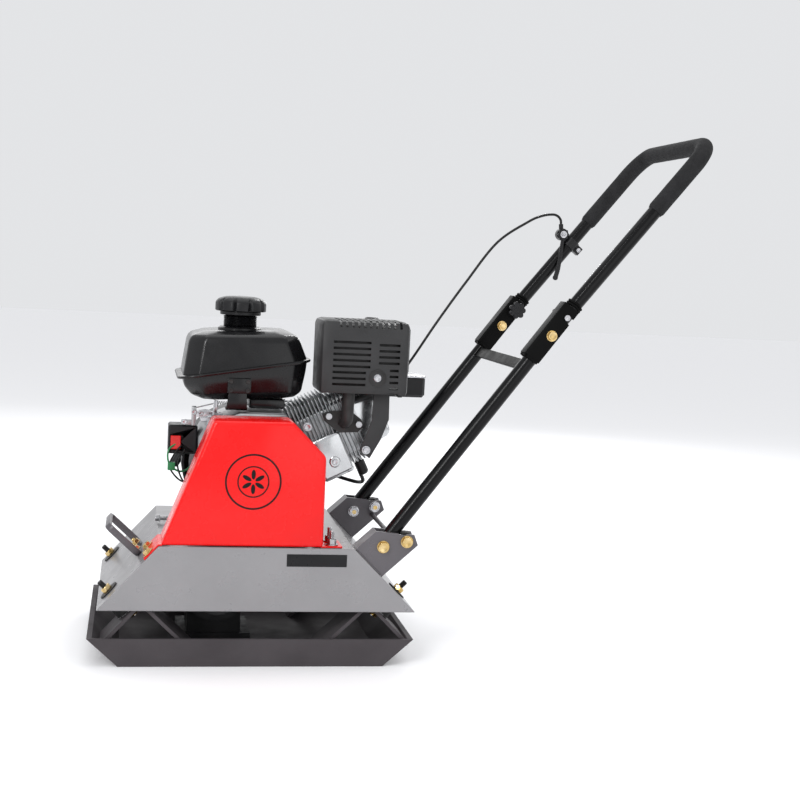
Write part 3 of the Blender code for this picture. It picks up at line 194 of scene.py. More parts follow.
material("tray_paint", (0.07, 0.063, 0.067), 0.42, mottle=0.12, peel=0.35, specular=0.4, ior=1.1)
material("deck_paint", (0.255, 0.25, 0.258), 0.32, metallic=0.15, coat=0.1, mottle=0.05, peel=0.28, dust=0.05)
material(
    "bracket_paint", (0.108, 0.101, 0.11), 0.34, metallic=0.2, coat=0.05, mottle=0.08,
    peel=0.3, specular=0.35,
)
material(
    "guard_paint", (0.8, 0.002, 0.002), 0.26, coat=0.1, mottle=0.04, peel=0.2, peel_scale=120.0, specular=0.3,
)
material("handle_paint", (0.0045, 0.0045, 0.005), 0.2, coat=0.03, mottle=0.15, peel=0.3, specular=0.16)
material("channel_paint", (0.006, 0.006, 0.006), 0.38, mottle=0.2, peel=0.45, specular=0.5, ior=1.1)
material(
    "foam", (0.016, 0.016, 0.017), 0.92, mottle=0.25, mottle_scale=60.0, grain=0.6,
    grain_scale=1400.0, specular=0.3,
)
material("rubber", (0.012, 0.012, 0.012), 0.66, mottle=0.2, mottle_scale=25.0, grain=0.25, specular=0.3)
material(
    "yellow_zinc", (0.62, 0.4, 0.11), 0.24, metallic=1.0, mottle=0.22,
    mottle_scale=70.0, tint=(0.78, 0.62, 0.34),
)
material("bright_zinc", (0.5, 0.5, 0.52), 0.24, metallic=1.0, mottle=0.12, mottle_scale=60.0, grain=0.1)
material(
    "black_plastic", (0.008, 0.008, 0.009), 0.38, mottle=0.2, mottle_scale=20.0, grain=0.3,
    grain_scale=1600.0, specular=0.3,
)
material(
    "tank_black", (0.0045, 0.0045, 0.0052), 0.26, coat=0.05, mottle=0.15, mottle_scale=12.0, grain=0.1,
    grain_scale=700.0, specular=0.35,
)
material(
    "muffler_paint", (0.03, 0.03, 0.031), 0.46, mottle=0.15, mottle_scale=20.0, grain=0.4,
    grain_scale=800.0, specular=0.3,
)
material(
    "exhaust_steel", (0.03, 0.029, 0.029), 0.48, metallic=0.3, mottle=0.3, mottle_scale=30.0, grain=0.3,
    grain_scale=700.0, specular=0.3,
)
material(
    "cast_aluminium", (0.4, 0.41, 0.42), 0.34, metallic=0.95, mottle=0.14, mottle_scale=30.0,
    grain=0.55, grain_scale=520.0,
)
material(
    "cast_iron", (0.022, 0.022, 0.023), 0.55, metallic=0.2, mottle=0.25, mottle_scale=30.0, grain=0.7,
    grain_scale=420.0, specular=0.3,
)
material(
    "polished_aluminium", (0.55, 0.56, 0.57), 0.2, metallic=0.95, mottle=0.08, mottle_scale=20.0,
    grain=0.12, grain_scale=300.0,
)
material("steel", (0.42, 0.42, 0.43), 0.28, metallic=1.0, mottle=0.12, mottle_scale=50.0, grain=0.1)
material("switch_red", (0.62, 0.006, 0.005), 0.3, coat=0.1, mottle=0.05)
material("cable_black", (0.006, 0.006, 0.006), 0.4, mottle=0.15, mottle_scale=30.0, specular=0.3)
material("decal_black", (0.005, 0.004, 0.004), 0.45, mottle=0.2, mottle_scale=30.0, grain=0.05, specular=0.2)
material("plate_black", (0.008, 0.008, 0.009), 0.34, mottle=0.15, mottle_scale=30.0, specular=0.25)
material("wire_green", (0.01, 0.2, 0.06), 0.4, coat=0.1, mottle=0.15, mottle_scale=60.0)


# Shapes. Each function returns a bmesh in world coordinates.


def faces_outwards(shape):
    bmesh.ops.recalc_face_normals(shape, faces=shape.faces)
    return shape


def loft(rings, closed=False):
    """Skin over rings of points that have equal counts, capped at both ends unless it closes on itself."""
    shape = bmesh.new()
    skins = [[shape.verts.new(point) for point in ring] for ring in rings]
    pairs = list(zip(skins, skins[1:]))
    if closed:
        pairs.append((skins[-1], skins[0]))
    for lower, upper in pairs:
        for i in range(len(lower)):
            j = (i + 1) % len(lower)
            shape.faces.new((lower[i], lower[j], upper[j], upper[i]))
    if not closed:
        shape.faces.new(skins[0])
        shape.faces.new(skins[-1])
    return faces_outwards(shape)


def extruded(outline, vector):
    """A plate whose outline is a list of points in space, thickened by the vector."""
    points = [Vector(point) for point in outline]
    return loft([points, [point + Vector(vector) for point in points]])


def prism(outline, near, far):
    return extruded([(x, near, z) for x, z in outline], (0, far - near, 0))


def box(low, high):
    outline = [(low[0], low[2]), (high[0], low[2]), (high[0], high[2]), (low[0], high[2])]
    return prism(outline, low[1], high[1])


def aim(axis):
    """A rotation that turns +Z onto the axis."""
    return Vector(axis).to_track_quat("Z", "Y").to_matrix()


def turned(rings, centre, axis, hollow=False):
    """A shape of rings about an axis: each ring is (list of radii round the turn, height along the axis)."""
    turn = aim(axis)
    centre = Vector(centre)
    placed = []
    for radii, height in rings:
        ring = []
        for i, radius in enumerate(radii):
            angle = 2 * pi * i / len(radii)
            ring.append(centre + turn @ Vector((radius * cos(angle), radius * sin(angle), height)))
        placed.append(ring)
    return loft(placed, closed=hollow)


def lathe(profile, centre, axis, steps=48, hollow=False):
    """A turned shape. The profile lists (radius, height along the axis), and is a loop if hollow."""
    smallest = 0.00005
    rings = [([max(radius, smallest)] * steps, height) for radius, height in profile]
    return turned(rings, centre, axis, hollow)


def rod(start, end, radius, steps=32):
    start = Vector(start)
    end = Vector(end)
    return lathe([(radius, 0), (radius, (end - start).length)], start, end - start, steps)


def ring_around(centre, axis, inner, outer, low, high, steps=48):
    return lathe([(inner, low), (outer, low), (outer, high), (inner, high)], centre, axis, steps, hollow=True)


def arc(centre_a, centre_b, radius, start, end, steps):
    """Points (a, b) on a circular arc, with angles in degrees."""
    points = []
    for i in range(steps + 1):
        angle = radians(start + (end - start) * i / steps)
        points.append((centre_a + radius * cos(angle), centre_b + radius * sin(angle)))
    return points


def filleted(corners, radius, steps=10):
    """The path through the corners with each inner corner rounded to an arc."""
    path = [Vector(corners[0])]
    for before, corner, after in zip(corners, corners[1:], corners[2:]):
        corner = Vector(corner)
        back = (Vector(before) - corner).normalized()
        ahead = (Vector(after) - corner).normalized()
        half = back.angle(ahead) / 2
        centre = corner + (back + ahead).normalized() * radius / sin(half)
        start = corner + back * radius / tan(half) - centre
        end = corner + ahead * radius / tan(half) - centre
        turn = start.angle(end)
        for i in range(steps + 1):
            t = i / steps
            swung = start * sin((1 - t) * turn) + end * sin(t * turn)
            path.append(centre + swung / sin(turn))
    path.append(Vector(corners[-1]))
    return path


def swept_rings(path, section, up, sizes=None):
    """The section's (side, up) points, carried along the path without twisting, each scaled by its size."""
    rings = []
    up = Vector(up)
    for i, point in enumerate(path):
        ahead = (path[min(i + 1, len(path) - 1)] - path[max(i - 1, 0)]).normalized()
        up = (up - ahead * up.dot(ahead)).normalized()
        side = ahead.cross(up)
        size = sizes[i] if sizes else 1
        rings.append([point + side * a * size + up * b * size for a, b in section])
    return rings


def circle(radius, steps=32):
    angles = [2 * pi * i / steps for i in range(steps)]
    return [(radius * cos(angle), radius * sin(angle)) for angle in angles]


def sweep(path, section, up=(0, 1, 0), sizes=None):
    return loft(swept_rings(path, section, up, sizes))


def pipe(path, outer, inner, steps=40, up=(0, 1, 0)):
    """An open-ended tube with a wall."""
    outside = swept_rings(path, circle(outer, steps), up)
    inside = swept_rings(path, circle(inner, steps), up)
    return loft(outside + inside[::-1], closed=True)


def rounded_rectangle(low_a, high_a, low_b, high_b, corner, steps):
    """Points (a, b) round a rectangle with rounded corners."""
    centres = (
        (high_a - corner, high_b - corner),
        (low_a + corner, high_b - corner),
        (low_a + corner, low_b + corner),
        (high_a - corner, low_b + corner),
    )
    points = []
    for quarter, (a, b) in enumerate(centres):
        points += arc(a, b, corner, 90 * quarter, 90 * quarter + 90, steps)
    return points


def flat_bar(width, thickness, corner=0.0015):
    """The (side, up) section of a flat bar with rounded edges."""
    return rounded_rectangle(-width / 2, width / 2, -thickness / 2, thickness / 2, corner, 3)


def smooth_curve(points, steps=8):
    """Points along a Catmull-Rom curve through the given ones."""
    points = [Vector(point) for point in points]
    ends = [points[0] * 2 - points[1], *points, points[-1] * 2 - points[-2]]
    fine = []
    for a, b, c, d in zip(ends, ends[1:], ends[2:], ends[3:]):
        for i in range(steps):
            t = i / steps
            curve = 2 * b + (c - a) * t + (2 * a - 5 * b + 4 * c - d) * t**2 + (3 * b - a - 3 * c + d) * t**3
            fine.append(curve * 0.5)
    fine.append(points[-1])
    return fine


def evened(path, spacing):
    """The path resampled at even spacing."""
    length = sum((b - a).length for a, b in zip(path, path[1:]))
    count = max(2, round(length / spacing))
    step = length / count
    points = [path[0]]
    travelled = 0.0
    for before, after in zip(path, path[1:]):
        run = (after - before).length
        while len(points) < count and step * len(points) <= travelled + run:
            points.append(before.lerp(after, (step * len(points) - travelled) / run))
        travelled += run
    points.append(path[-1])
    return points


def weld_bead(path, radius=0.0022):
    """A weld: a bead along the path whose ripples follow one another closely."""
    points = evened([Vector(point) for point in path], 0.0007)
    sizes = [0.88 + 0.16 * abs(sin(i * 1.05)) + 0.05 * sin(i * 0.37) for i in range(len(points))]
    return sweep(points, circle(radius, 10), (0.2, 0.4, 0.89), sizes)


def hexagon(across_flats, steps=48):
    """Radii round a hexagon's outline."""
    radii = []
    for i in range(steps):
        angle = (360 * i / steps) % 60 - 30
        radii.append(across_flats / 2 / cos(radians(angle)))
    return radii


def hex_head(centre, axis, across_flats, height, both_ends=False):
    """A hexagon head or nut, standing along the axis from the centre, with its corners turned down."""
    full = hexagon(across_flats)
    chamfered = [min(radius, across_flats * 0.505) for radius in full]
    middle = [min(radius, across_flats * 0.555) for radius in full]
    rings = [(chamfered, 0), (middle, height * 0.08)] if both_ends else [(full, 0)]
    rings += [(full, height * 0.16)] if both_ends else []
    rings += [(full, height * 0.8), (middle, height * 0.91), (chamfered, height)]
    rings += [([across_flats * 0.36] * 48, height), ([across_flats * 0.34] * 48, height * 0.97)]
    return turned(rings, centre, axis)


def washer(centre, axis, inner, outer, thickness):
    edge = thickness * 0.25
    profile = [(inner, 0), (outer - edge, 0), (outer, edge)]
    profile += [(outer, thickness - edge), (outer - edge, thickness), (inner, thickness)]
    return lathe(profile, centre, axis, 48, hollow=True)


def stud_end(start, axis, radius, length):
    """The threaded end of a stud: ridges along it and a turned-down tip."""
    profile = []
    pitch = 0.0013
    turns = max(1, int((length - 0.0015) / pitch))
    for i in range(turns):
        profile += [(radius, i * pitch), (radius * 0.88, (i + 0.5) * pitch)]
    profile += [(radius, turns * pitch), (radius * 0.75, length)]
    return lathe(profile, start, axis, 24)


def hex_bolt(centre, axis, across_flats, height, washer_radius=0.0):
    """A bolt's head on a washer: the axis points out of the surface at the centre."""
    axis = Vector(axis).normalized()
    centre = Vector(centre)
    if not washer_radius:
        return hex_head(centre, axis, across_flats, height)
    under = washer(centre, axis, 0.002, washer_radius, 0.0016)
    return together(under, hex_head(centre + axis * 0.0016, axis, across_flats, height - 0.0016))


def as_mesh(shape, name="working_shape"):
    """The shape as a mesh of Blender's own, with the shape itself freed."""
    mesh = bpy.data.meshes.new(name)
    shape.to_mesh(mesh)
    shape.free()
    return mesh


def placed(name, data):
    """A new object in the scene that holds the data."""
    item = bpy.data.objects.new(name, data)
    bpy.context.scene.collection.objects.link(item)
    return item


def together(*shapes):
    """One mesh of several closed shapes."""
    whole = bmesh.new()
    for shape in shapes:
        mesh = as_mesh(shape)
        whole.from_mesh(mesh)
        bpy.data.meshes.remove(mesh)
    return whole


def softened(shape, width, segments=2, sharper_than=35):
    """The shape with its sharp edges rounded off."""
    limit = radians(sharper_than)
    sharp = [edge for edge in shape.edges if edge.is_manifold and edge.calc_face_angle(0) > limit]
    bmesh.ops.bevel(shape, geom=sharp, offset=width, segments=segments, profile=0.5, affect="EDGES")
    return shape


def soft_box(low, high, edge):
    return softened(box(low, high), edge)


def soft_plate(outline, near, far, edge):
    return softened(prism(outline, near, far), edge)


def symmetric(profile):
    """A turned profile's (radius, height) points with their mirror image in height."""
    return profile + [(radius, -height) for radius, height in reversed(profile)]


def spoke(angle):
    """The directions out from an axis along Y and round it, at an angle from +X."""
    out = Vector((cos(angle), 0, sin(angle)))
    return out, Vector((-out.z, 0, out.x))


def cut(shape, *tools):
    """The shape with the tools cut from it."""
    objects = [placed("working_shape", as_mesh(solid)) for solid in (shape, *tools)]
    for tool in objects[1:]:
        modifier = objects[0].modifiers.new("cut", "BOOLEAN")
        modifier.operation = "DIFFERENCE"
        modifier.solver = "EXACT"
        modifier.object = tool
    graph = bpy.context.evaluated_depsgraph_get()
    mesh = bpy.data.meshes.new_from_object(objects[0].evaluated_get(graph))
    result = bmesh.new()
    result.from_mesh(mesh)
    bpy.data.meshes.remove(mesh)
    for working in objects:
        bpy.data.meshes.remove(working.data)
    return result


# Pieces.


def piece(name, shape, finish, smooth_below=38):
    """Adds the shape as an object with its finish."""
    mesh = as_mesh(shape, name)
    mesh.materials.clear()
    mesh.materials.append(FINISHES[finish])
    mesh.shade_smooth()
    mesh.set_sharp_from_angle(angle=radians(smooth_below))
    item = placed(name, mesh)
    return item


def add(name, shape, finish, body="chassis", replaces=()):
    """Adds a piece, of one shape or a list of them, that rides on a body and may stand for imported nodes."""
    if isinstance(shape, list):
        shape = together(*shape)
    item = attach(piece(name, shape, finish), body)
    if replaces:
        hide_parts(*replaces)
    return item


def slope_point(end, up_slope, y=0.0, out=0.0):
    """A point on the deck slope's outer face, and the directions up the slope and out of it."""
    foot, top = DECK_SLOPES[end]
    up = (top - foot).normalized()
    normal = Vector((-up.z, 0, up.x)) if end == "front" else Vector((up.z, 0, -up.x))
    point = foot + up * up_slope + normal * out
    return Vector((point.x, y, point.z)), up, normal


def tube_point(origin, direction, along, across, y):
    """A point at a distance along a tube from its origin and at a distance behind it."""
    behind = Vector((direction.z, 0, -direction.x))
    return origin + direction * along + behind * across + Vector((0, y, 0))


def lower_frame(along=0.0, across=0.0, y=0.0):
    """A point beside the lower tube, measured from its pivot."""
    return tube_point(PIVOT, LOWER_DIRECTION, along, across, y)


def upper_frame(along=0.0, across=0.0, y=0.0):
    """A point beside the upper tube, measured from the fold bolt."""
    return tube_point(FOLD, UPPER_DIRECTION, along, across, y)


def engine_point(along, above, y=0.0):
    return Vector((CRANK.x, y, CRANK.z)) + CYLINDER_AXIS * along + CYLINDER_UP * above


def finish_packed_nodes():
    """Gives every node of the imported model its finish, and rounds its sharp edges."""
    edge_width = {
        "base_plate": 0.0012, "engine_deck": 0.0008, "muffler_guard": 0.0004, "belt_guard": 0.0008,
        "cylinder": 0.0006, "cylinder_head": 0.0006, "throttle_clamp": 0.0005, "throttle_lever": 0.0005,
    }
    slot_of_node = {entry["node"]: entry["material_slot"] for entry in frame["record"]["subparts"]}
    for name, node in frame["nodes"].items():
        node.data.materials.clear()
        node.data.materials.append(FINISHES[slot_of_node[name]])
        if "custom_normal" in node.data.attributes:
            node.data.attributes.remove(node.data.attributes["custom_normal"])
        node.data.shade_smooth()
        weld = node.modifiers.new("weld", "WELD")
        weld.merge_threshold = 0.000002
        flat = node.modifiers.new("flat", "DECIMATE")
        flat.decimate_type = "DISSOLVE"
        flat.angle_limit = radians(0.6)
        edges = node.modifiers.new("edges", "BEVEL")
        edges.width = edge_width.get(name, 0.0007)
        edges.segments = 2
        edges.limit_method = "ANGLE"
        edges.angle_limit = radians(32)
        edges.harden_normals = True


# Base, mounts and deck.


def isolators():
    """Rubber bobbins between steel discs, and their studs, washers and nuts on the slopes."""
    bore, disc, stud_radius = 0.004, 0.0016, 0.005
    top = DECK_WALL + 0.0003
    bottom = top + MOUNT_LENGTH
    waist = MOUNT_RADIUS * 0.93
    profile = [(bore, top + disc)]
    for i in range(13):
        t = i / 12
        radius = waist + (MOUNT_RADIUS - waist) * (2 * t - 1) ** 2
        profile.append((radius, top + disc + t * (MOUNT_LENGTH - 2 * disc)))
    profile.append((bore, bottom - disc))
    for end in DECK_SLOPES:
        for side, sign in SIDES.items():
            name = f"{end}_{side}"
            point, _, normal = slope_point(end, MOUNT_UP_SLOPE[end], sign * MOUNT_Y)
            rubber = lathe(profile, point, -normal)
            add(f"isolator_rubber_{name}", rubber, "rubber", replaces=[f"rubber_mount_{name}"])
            discs = [
                washer(point - normal * top, -normal, bore, MOUNT_RADIUS, disc),
                washer(point - normal * (bottom - disc), -normal, bore, MOUNT_RADIUS, disc),
                rod(point + normal * 0.002, point - normal * (top + 0.001), stud_radius),
                rod(point - normal * (bottom - 0.001), point - normal * (bottom + 0.016), stud_radius),
            ]
            add(f"isolator_discs_{name}", discs, "steel")
            stud = [
                washer(point + normal * 0.0004, normal, bore, 0.0185, 0.0022),
                stud_end(point + normal * 0.002, normal, stud_radius, 0.022),
            ]
            add(f"isolator_stud_{name}", stud, "exhaust_steel")
            below = point - normal * (bottom + BRACKET_PLATE + 0.0008)
            nuts = [
                hex_head(point + normal * 0.0028, normal, 0.0165, 0.0085, both_ends=True),
                hex_head(below, -normal, 0.0165, 0.0078, both_ends=True),
            ]
            add(f"isolator_nut_{name}", nuts, "yellow_zinc")


def lifting_loop():
    """The bent flat bar that the machine is lifted by, and the nuts on its feet."""
    near, far = -0.112, -0.006
    foot, up, normal = slope_point("front", 0.105)
    feet = foot + normal * 0.0034
    top = foot + normal * 0.074
    corners = [
        (feet.x, near + 0.034, feet.z),
        (feet.x, near, feet.z),
        (top.x, near, top.z),
        (top.x, far, top.z),
        (feet.x, far, feet.z),
        (feet.x, far - 0.034, feet.z),
    ]
    bar = sweep(filleted(corners, 0.01, 8), flat_bar(0.006, 0.012), up)
    add("lift_loop_bar", bar, "bracket_paint", replaces=["lift_loop"])
    nuts = []
    for y in (near + 0.024, far - 0.024):
        centre = Vector((feet.x, y, feet.z)) + normal * 0.003
        nuts.append(washer(centre, normal, 0.003, 0.0085, 0.0012))
        nuts.append(hex_head(centre + normal * 0.0012, normal, 0.013, 0.006))
        nuts.append(stud_end(centre + normal * 0.006, normal, 0.0035, 0.006))
    add("lift_loop_nuts", nuts, "yellow_zinc")


def guard_emblem():
    """A generic mark on the guard's face: two rings round six petals."""
    centre = Vector((-0.0103, GUARD_FACE_Y + 0.0002, 0.3202))
    marks = [
        ring_around(centre, NEAR_OUT, 0.045, 0.048, 0, EMBLEM_THICKNESS, 96),
        ring_around(centre, NEAR_OUT, 0.025, 0.0272, 0, EMBLEM_THICKNESS, 72),
    ]
    for i in range(6):
        radial, tangent = spoke(radians(60 * i + 30))
        petal = []
        for j in range(24):
            turn = 2 * pi * j / 24
            reach = 0.0125 + 0.0085 * cos(turn)
            petal.append(centre + radial * reach + tangent * 0.0036 * sin(turn))
        marks.append(extruded(petal, NEAR_OUT * EMBLEM_THICKNESS))
    add("guard_emblem", marks, "decal_black")


def guard_fasteners():
    """The tall studs behind the guard and the bolts through its front foot."""
    up = Vector((0, 0, 1))
    tall = []
    for y in (-0.18, -0.148):
        foot = Vector((0.131, y, DECK_TOP_Z + 0.0034))
        tall.append(washer(foot, up, 0.003, 0.011, 0.0016))
        tall.append(hex_head(foot + up * 0.0016, up, 0.014, 0.009))
        tall.append(stud_end(foot + up * 0.01, up, 0.0045, 0.015))
    add("guard_studs", tall, "steel")
    point, _, normal = slope_point("front", 0.1285, 0.0, 0.003)
    front = [hex_bolt((point.x, y, point.z), normal, 0.013, 0.0075, 0.01) for y in (-0.183, -0.128)]
    add("guard_bolts", front, "yellow_zinc")


def label_plate():
    """A blank black plate on the deck's side, where the maker would put its own."""
    face = DECK_SIDE_Y - 0.0001
    plate = soft_box((0.052, face - 0.0006, 0.1755), (0.156, face, 0.197), 0.0003)
    add("label_plate", plate, "plate_black")


def deck_welds():
    """Beads where the handle brackets stand on the rear slope."""
    beads = []
    for sign in SIDES.values():
        for face in (-0.02, 0.02):
            y = sign * TUBE_Y + face
            ends = [slope_point("rear", up_slope, y, 0.0012)[0] for up_slope in (0.092, 0.15)]
            beads.append(weld_bead(ends, 0.0018))
    add("bracket_welds", beads, "bracket_paint")


# Handle.


def through_bolt(centre, sign, outside, inside, across_flats, washer_radius):
    """A bolt along Y with its head outside and its nut inside, as two lists: head and shank, then nut."""
    out = Vector((0, sign, 0))
    head = Vector((centre.x, sign * outside, centre.z))
    nut = Vector((centre.x, sign * inside, centre.z))
    bolt = [
        washer(head, out, 0.003, washer_radius, 0.0016),
        hex_head(head + out * 0.0016, out, across_flats, 0.0062),
        rod(head + out * 0.001, nut - out * 0.0105, 0.0042, 24),
    ]
    locknut = [
        washer(nut, -out, 0.0043, washer_radius, 0.0016),
        hex_head(nut - out * 0.0018, -out, across_flats, 0.0066, both_ends=True),
        ring_around(nut - out * 0.0084, -out, 0.0043, across_flats * 0.38, 0, 0.001),
    ]
    return bolt, locknut


def bracket_bolts():
    """The bolts that the handle turns on, and the rubber stops with their own bolts."""
    stop = lower_frame(STOP_AHEAD, TUBE_RADIUS + STOP_RADIUS + 0.0003)
    roller = symmetric([(0.0063, -0.0125), (0.013, -0.0125), (STOP_RADIUS, -0.011)])
    for side, sign in SIDES.items():
        for name, centre in (("pivot", PIVOT), ("stop", stop)):
            head, nut = through_bolt(centre, sign, TUBE_Y + 0.0197, TUBE_Y - 0.0197, 0.017, 0.011)
            add(f"{name}_hex_bolt_{side}", head, "yellow_zinc", replaces=[f"{name}_bolt_{side}"])
            add(f"{name}_locknut_{side}", nut, "bright_zinc")
        shape = lathe(roller, (stop.x, sign * TUBE_Y, stop.z), (0, 1, 0), 48, hollow=True)
        add(f"stop_rubber_{side}", shape, "rubber", replaces=[f"stop_roller_{side}"])


def fold_channel(y):
    """The pressed channel round the fold: cheeks, a web with rounded corners, and the lock stud's notch."""
    cheek_out, cheek_in, front, web, back = 0.0175, 0.0145, -0.0188, -0.0158, 0.0127
    section = [(-cheek_out, back)]
    section += arc(-cheek_out + 0.004, front + 0.004, 0.004, 180, 270, 5)
    section += arc(cheek_out - 0.004, front + 0.004, 0.004, 270, 360, 5)
    section += [(cheek_out, back), (cheek_in, back)]
    section += [(cheek_in, web), (-cheek_in, web), (-cheek_in, back)]
    rings = []
    for along in (FOLD_AHEAD - 0.052, FOLD_AHEAD + 0.062):
        rings.append([lower_frame(along, across, y + side) for side, across in section])
    channel = loft(rings)
    half = 0.0046
    notch = [
        upper_frame(LOCK_AHEAD - half, -0.002),
        upper_frame(LOCK_AHEAD + half, -0.002),
        upper_frame(LOCK_AHEAD + half, 0.02),
        upper_frame(LOCK_AHEAD - half - 0.004, 0.02),
    ]
    return softened(cut(channel, prism([(p.x, p.z) for p in notch], y - 0.03, y + 0.03)), 0.0004)


def channel_welds(y):
    """Beads round the foot of the fold channel, and along its cheeks beside the tube."""
    foot = FOLD_AHEAD - 0.053

    def bead(start, end, radius):
        return weld_bead([lower_frame(*start), lower_frame(*end)], radius)

    welds = []
    for face in (-1, 1):
        cheek = y + face * 0.015
        beside = y + face * 0.0125
        welds.append(bead((foot, -0.013, cheek), (foot, 0.0105, cheek), 0.0034))
        welds.append(bead((FOLD_AHEAD - 0.052, 0.0105, beside), (FOLD_AHEAD - 0.03, 0.0115, beside), 0.0026))
    web = FOLD_AHEAD - 0.0535
    welds.append(bead((web, -0.0145, y - 0.013), (web, -0.0145, y + 0.013), 0.003))
    return welds


def lower_half():
    """The lower tubes, and their fold channels with welds."""
    for side, sign in SIDES.items():
        y = sign * TUBE_Y
        path = evened([lower_frame(-0.016, 0, y), lower_frame(FOLD_AHEAD - 0.03, 0, y)], 0.02)
        tube = pipe(path, TUBE_RADIUS, TUBE_BORE)
        replaced = ["lower_handle"] if side == "left" else []
        add(f"lower_tube_{side}", tube, "handle_paint", "handle_lower", replaced)
        add(f"fold_channel_{side}", fold_channel(y), "channel_paint", "handle_lower")
        add(f"channel_welds_{side}", channel_welds(y), "channel_paint", "handle_lower")


def crossbar():
    """The flat bar between the lower tubes, its stiffening strip and the welds at its ends."""
    centre = FOLD_AHEAD - 0.069
    reach = TUBE_Y - TUBE_RADIUS + 0.001
    bars = []
    for behind, *sizes in ((-0.002, 0.005, 0.021, 0.0012), (0.0025, 0.003, 0.013, 0.0008)):
        ends = [lower_frame(centre, behind, y) for y in (-reach, reach)]
        bars.append(sweep(ends, flat_bar(*sizes), LOWER_DIRECTION))
    add("handle_crossbar", bars, "channel_paint", "handle_lower")
    welds = []
    for sign in SIDES.values():
        y = sign * (TUBE_Y - TUBE_RADIUS + 0.0006)
        ends = [lower_frame(centre + half, -0.0048, y) for half in (-0.0105, 0.0105)]
        welds.append(weld_bead(ends, 0.0018))
    add("crossbar_welds", welds, "channel_paint", "handle_lower")


def upper_path(start_left, start_right):
    """The upper tube's centre line, from one end up, across and down to the other."""
    corners = [
        upper_frame(start_left, 0, -TUBE_Y),
        upper_frame(UPPER_LENGTH, 0, -TUBE_Y),
        upper_frame(UPPER_LENGTH, 0, TUBE_Y),
        upper_frame(start_right, 0, TUBE_Y),
    ]
    return evened(filleted(corners, UPPER_BEND, 24), UPPER_SPACING)


def upper_half():
    """The upper tube and its foam sleeve, which has soft rounded ends and the slight unevenness of foam."""
    behind = Vector((sin(UPPER_ANGLE), 0, -cos(UPPER_ANGLE)))
    tube = pipe(upper_path(-0.0085, -0.0085), TUBE_RADIUS, TUBE_BORE, 40, behind)
    add("upper_tube", tube, "handle_paint", "handle_upper", ["upper_handle"])
    path = upper_path(FOAM_START["left"], FOAM_START["right"])
    sizes = []
    for i in range(len(path)):
        from_end = min(i, len(path) - 1 - i) * UPPER_SPACING
        rounding = sqrt(max(0.0, 1 - (1 - min(1, from_end / 0.004)) ** 2))
        sizes.append(0.86 + 0.13 * rounding + 0.006 * sin(i * 0.9) * sin(i * 0.23))
    foam = sweep(path, circle(FOAM_RADIUS, 48), behind, sizes)
    sleeve = add("foam_sleeve", foam, "foam", "handle_upper", ["handle_grip"])


def upper_tube_welds():
    """A pair of wandering beads round each leg of the upper tube, above the lock stud."""
    radius = TUBE_RADIUS + 0.0002
    beads = []
    for sign in SIDES.values():
        for along, lean in ((0.0665, 0.0), (0.0715, 0.3)):
            ring = []
            for i in range(41):
                angle = 2 * pi * i / 40 + lean
                wander = 0.001 * sin(3 * angle)
                y = sign * TUBE_Y + radius * sin(angle)
                ring.append(upper_frame(along + wander, radius * cos(angle), y))
            beads.append(weld_bead(ring, 0.0026))
    add("upper_tube_welds", beads, "channel_paint", "handle_upper")


def fold_hardware():
    """The fold's bolts and nuts, and the lobed lock knobs on their studs."""
    lobes = [0.0126 + 0.0046 * abs(cos(7 * pi * i / 140)) ** 0.7 for i in range(140)]
    levels = [(0.55, 0), (0.86, 0.0002), (0.96, 0.0012), (1.0, 0.0032), (1.0, 0.0088)]
    levels += [(0.95, 0.0108), (0.82, 0.0118), (0.5, 0.0119), (0.42, 0.0112)]
    body = [([radius * scale for radius in lobes], height) for scale, height in levels]
    for side, sign in SIDES.items():
        head, nut = through_bolt(FOLD, sign, TUBE_Y + 0.0178, TUBE_Y - 0.0178, 0.0145, 0.0097)
        add(f"fold_hex_bolt_{side}", head, "yellow_zinc", "handle_lower", [f"fold_bolt_{side}"])
        add(f"fold_locknut_{side}", nut, "yellow_zinc", "handle_lower")
        centre = upper_frame(LOCK_AHEAD, 0, sign * TUBE_Y)
        inwards = Vector((0, -sign, 0))
        knob = [
            turned(body, centre + inwards * 0.0242, inwards),
            lathe([(0.0088, 0), (0.0082, 0.007)], centre + inwards * 0.0184, inwards),
        ]
        add(f"knob_{side}", knob, "black_plastic", f"knob_{side}", [f"lock_knob_{side}"])
        stud = [
            rod(centre - inwards * 0.0185, centre + inwards * 0.019, 0.0041, 24),
            hex_head(centre - inwards * 0.0178, -inwards, 0.01, 0.0034),
            washer(centre + inwards * 0.0177, inwards, 0.003, 0.0085, 0.001),
        ]
        add(f"lock_stud_{side}", stud, "bright_zinc", f"knob_{side}")


